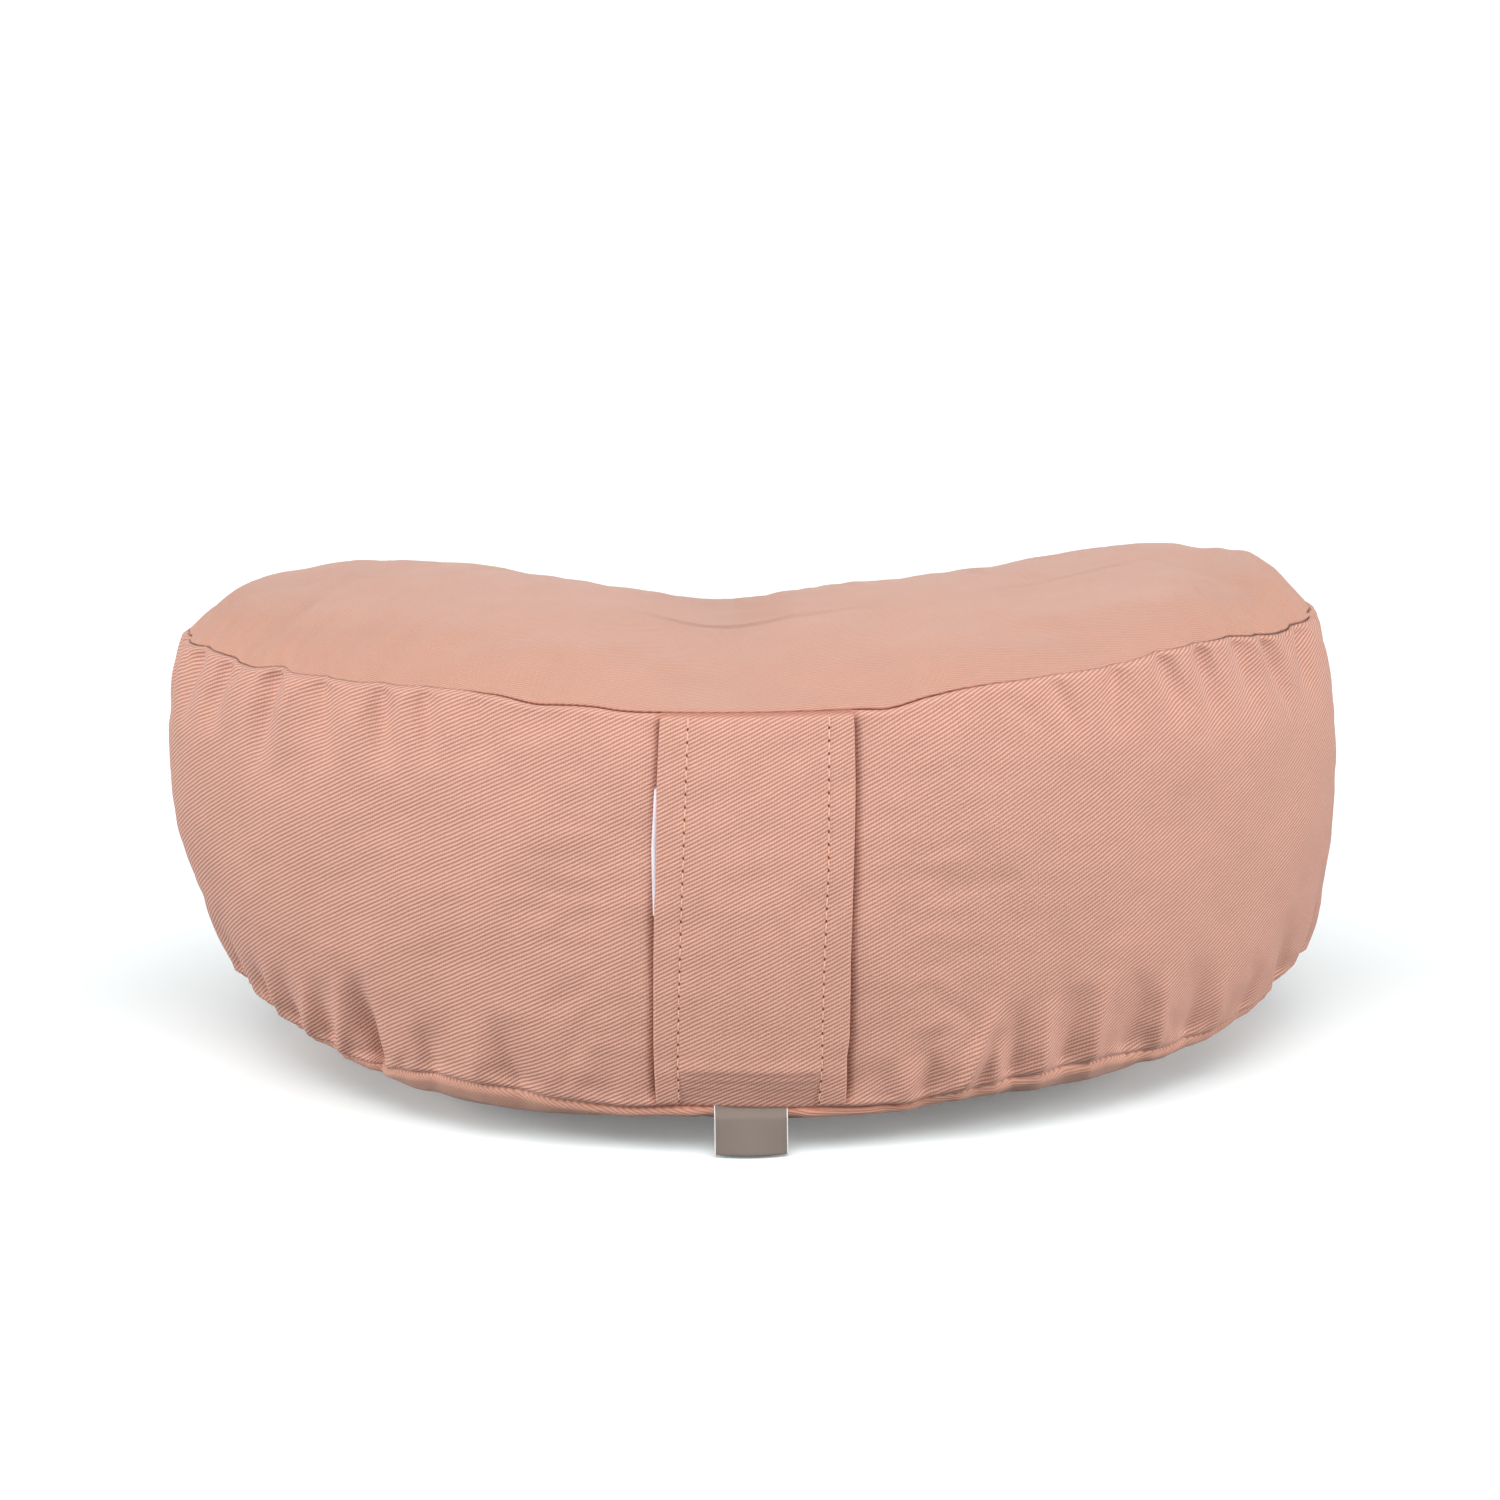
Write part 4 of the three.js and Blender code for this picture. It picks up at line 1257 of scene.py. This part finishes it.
# A short arched thread
def threadShape(add, given):
    half = calc(add, "MULTIPLY", given["Length"], 0.5)
    start = add("ShaderNodeCombineXYZ", {0: calc(add, "MULTIPLY", half, -1.0)})
    end = add("ShaderNodeCombineXYZ", {0: half})
    top = add("ShaderNodeCombineXYZ", {2: given["Arch"]})
    arch = {"Resolution": 6, "Start": start, "Middle": top, "End": end}
    line = add("GeometryNodeCurveQuadraticBezier", arch)
    radius = calc(add, "MULTIPLY", given["Width"], 0.5)
    circle = add("GeometryNodeCurvePrimitiveCircle", {"Resolution": 6, "Radius": radius})
    sweep = {"Curve": line, "Profile Curve": circle, "Fill Caps": True}
    tube = add("GeometryNodeCurveToMesh", sweep)
    return add("GeometryNodeSetShadeSmooth", {0: tube})


# A shallow oval pit
def pitShape(add, given):
    ball = add("GeometryNodeMeshUVSphere", {"Segments": 8, "Rings": 5, "Radius": 0.5})
    size = add("ShaderNodeCombineXYZ", {0: given["Length"], 1: given["Width"], 2: given["Arch"]})
    flat = add("GeometryNodeTransform", {"Geometry": ball, "Scale": size})
    return add("GeometryNodeSetShadeSmooth", {0: flat})


threadRow = rowTree("threadRow", threadShape)
pitRow = rowTree("pitRow", pitShape)


# Plants a row on each path; a path is its points and its outward directions
def plantRows(name, paths, tree, values, finish):
    points, edges, outwards = [], [], []
    for line, outward in paths:
        first = len(points)
        points += [tuple(point * mm) for point in line]
        outwards += [tuple(direction) for direction in outward]
        edges += [(first + k, first + k + 1) for k in range(len(line) - 1)]
    mesh = bpy.data.meshes.new(name + "_path")
    mesh.from_pydata(points, edges, [])
    attribute = mesh.attributes.new("outward", "FLOAT_VECTOR", "POINT")
    attribute.data.foreach_set("vector", np.array(outwards, np.float32).ravel())
    path = addObject(name + "_path", mesh)
    modifier = path.modifiers.new("row", "NODES")
    modifier.node_group = tree
    inputs = {item.name: item.identifier for item in tree.interface.items_tree if item.in_out == "INPUT"}
    for key in ("pitch", "length", "width", "arch"):
        modifier[inputs[key.capitalize()]] = values[key] * mm
    modifier[inputs["Slant"]] = math.radians(values["slant"])
    modifier[inputs["Jitter"]] = math.radians(values["jitter"])
    modifier[inputs["Seed"]] = values["seed"]
    modifier[inputs["Finish"]] = finish
    path.data.update()
    bpy.context.view_layer.update()
    evaluated = path.evaluated_get(bpy.context.evaluated_depsgraph_get())
    result = bpy.data.meshes.new_from_object(evaluated)
    result.name = name
    piece = addObject(name, result)
    bpy.data.objects.remove(path)
    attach(piece, "root")
    print(name, "planted:", len(result.polygons), "faces")
    return piece


threadLook = {"color": (0.68, 0.37, 0.27), "shadeColor": (0.13, 0.05, 0.035), "relief": 0.06}


def threadMaterial(name, color, roughness):
    material, add = newMaterial(name)
    fibres = noise(add, add("ShaderNodeTexCoord", output="Object"), 2500.0, 2.0)
    tone = add("ShaderNodeMapRange", {0: fibres, 3: 0.85, 4: 1.12})
    looks = {"Base Color": scaledColor(add, color, tone), "Roughness": roughness, "Specular IOR Level": 0.3}
    addShader(add, looks, fibres, threadLook["relief"])
    return material


sewingThread = threadMaterial("sewingThread", threadLook["color"], 0.6)
# The needle holes' pits are dark: painted shade in each hole
needleShade = threadMaterial("needleShade", threadLook["shadeColor"], 0.95)


def stitchPath(column, offset, lift):
    upTo = strapHeight - stitchRuns["strapUpTo"]
    heights = np.linspace(stitchRuns["strapFrom"], upTo, stitchRuns["strapPoints"]) + offset
    points, normals = strapFace(strap["columns"][column], heights / strapHeight)
    outward = withClimb(normals)
    return points + outward * lift + shift, outward


stitchLines = [stitchPath(column, 0, stitchRuns["stitchLift"]) for column in (1, 2)]
holeLines = [stitchPath(column, -topStitch["pitch"] / 2, stitchRuns["holeLift"]) for column in (1, 2)]
topStitches = plantRows("strap_topstitching", stitchLines, threadRow, topStitch, sewingThread)
needleHoles = plantRows("strap_needle_holes", holeLines, pitRow, needleHole, needleShade)


# The stitches that close a seam lie across its groove
def seamPath(row, upward):
    along = cushionStations["along"]
    keep = (along > stitchRuns["seamFrom"]) & (along < stitchRuns["seamUpTo"])
    outward = grooveDirection(cushionStations["normal"], upward)[keep]
    return cushionPoints[row][keep] + outward * stitchRuns["seamLift"], outward


seamLines = [seamPath(seamRows[1], 1), seamPath(seamRows[0], -1)]
seamStitches = plantRows("seam_stitches", seamLines, threadRow, seamStitch, sewingThread)

# Camera, floor and lights
view = {
    "turn": 0.9867,  # degrees, like the two below
    "elevation": 14.959,
    "lean": -0.684,
    "distance": 3000,
    "target": (-1.043, 5.034, 85),
    "targetPixel": (752.37, 839.22),  # where the target lies in the photo, whose size is below
    "focalPixels": 8190.83,
    "imageSize": 1500,
    "clipEnd": 50,  # metres
}


def placeCamera():
    lean = Matrix.Rotation(-math.radians(view["lean"]), 3, "Y")
    turn = lean @ Matrix.Rotation(-math.radians(view["turn"]), 3, "Z")
    elevation = math.radians(view["elevation"])
    right = turn @ Vector((1, 0, 0))
    up = turn @ Vector((0, math.sin(elevation), math.cos(elevation)))
    forward = turn @ Vector((0, math.cos(elevation), -math.sin(elevation)))
    place = Vector(view["target"]) - forward * view["distance"]
    offRight, offDown = [pixel - view["imageSize"] / 2 for pixel in view["targetPixel"]]
    axis = (forward * view["focalPixels"] - right * offRight + up * offDown).normalized()
    side = axis.cross(up).normalized()
    camera = addObject("camera", bpy.data.cameras.new("camera"))
    camera.data.sensor_width = 36
    camera.data.lens = view["focalPixels"] / view["imageSize"] * camera.data.sensor_width
    camera.data.clip_end = view["clipEnd"]
    rotation = Matrix((side, side.cross(axis), -axis)).transposed().to_4x4()
    camera.matrix_world = Matrix.Translation(place * mm) @ rotation
    bpy.context.scene.camera = camera


lighting = {
    "skyAbove": 0.22,
    "skyBelow": 0.7,
    "horizon": (-0.2, 0.2),  # the sky goes from one to the other here, and 1 would be straight up
    "skyFade": (-0.7, -0.3),  # and it fades out here, further down
    "floorColor": (0.912, 0.945, 0.95, 1),
    "floorGlow": (0.075, 0.095, 0.1, 1),  # keeps the floor white and its shadow from turning pink
    "floorSize": 30,  # metres, like the two below
    "floorLevel": -0.0002,
    "farDistance": 3,
}
farLights = [
    {"name": "leftKey", "azimuth": -72, "elevation": 12, "strength": 3.8, "spread": 45},
    {"name": "rightKey", "azimuth": 72, "elevation": 12, "strength": 3.7, "spread": 45},
    {"name": "backFill", "azimuth": 180, "elevation": 12, "strength": 1.2, "spread": 45},
    {"name": "frontTop", "azimuth": 0, "elevation": 56, "strength": 1.1, "spread": 55},
]
# A softbox in front and above, close enough to light the lower part less; metres and watts
softbox = {"place": (0, -0.72, 0.9), "width": 1.3, "depth": 0.8, "power": 6.2}


def makeSky():
    world = bpy.data.worlds.new("studio")
    world.use_nodes = True
    world.node_tree.nodes.clear()
    add = nodeAdder(world.node_tree)
    upward = add("ShaderNodeSeparateXYZ", {0: add("ShaderNodeTexCoord", output="Generated")}, output=2)
    low, high = lighting["horizon"]
    horizon = {0: upward, 1: low, 2: high, 3: lighting["skyBelow"], 4: lighting["skyAbove"]}
    level = add("ShaderNodeMapRange", horizon)
    low, high = lighting["skyFade"]
    fading = add("ShaderNodeMapRange", {0: upward, 1: low, 2: high, 3: 0.0, 4: 1.0})
    strength = calc(add, "MULTIPLY", level, fading)
    background = add("ShaderNodeBackground", {"Color": (1, 1, 1, 1), "Strength": strength})
    add("ShaderNodeOutputWorld", {"Surface": background})
    bpy.context.scene.world = world


def makeFloor():
    half = lighting["floorSize"] / 2
    corners = [(x * half, y * half, lighting["floorLevel"]) for x, y in ((-1, -1), (1, -1), (1, 1), (-1, 1))]
    mesh = bpy.data.meshes.new("floor")
    mesh.from_pydata(corners, [], [(0, 1, 2, 3)])
    floor = addObject("floor", mesh)
    material, add = newMaterial("paleFloor")
    looks = {
        "Base Color": lighting["floorColor"],
        "Roughness": 0.9,
        "Specular IOR Level": 0.1,
        "Emission Color": lighting["floorGlow"],
        "Emission Strength": 1.0,
    }
    addShader(add, looks)
    mesh.materials.append(material)
    floor.visible_diffuse = False  # the cushion is lit by the lamps and the sky alone


# Hangs a lamp at a place, aimed at the middle of the cushion
def hangLamp(lamp, place):
    holder = addObject(lamp.name, lamp)
    holder.location = place
    holder.rotation_euler = (place - Vector(view["target"]) * mm).to_track_quat("Z", "Y").to_euler()
    holder.visible_camera = False


def makeLamps():
    for light in farLights:
        lamp = bpy.data.lights.new(light["name"], "SUN")
        lamp.energy = light["strength"]
        lamp.angle = math.radians(light["spread"])
        azimuth, elevation = math.radians(light["azimuth"]), math.radians(light["elevation"])
        level = math.cos(elevation)
        direction = Vector((math.sin(azimuth) * level, -math.cos(azimuth) * level, math.sin(elevation)))
        hangLamp(lamp, direction * lighting["farDistance"])
    lamp = bpy.data.lights.new("softbox", "AREA")
    lamp.shape = "RECTANGLE"
    lamp.size = softbox["width"]
    lamp.size_y = softbox["depth"]
    lamp.energy = softbox["power"]
    hangLamp(lamp, Vector(softbox["place"]))


placeCamera()
bpy.context.scene.view_settings.view_transform = "Standard"
makeSky()
makeFloor()
makeLamps()
print("camera, sky, floor and", len(farLights) + 1, "lamps in place")
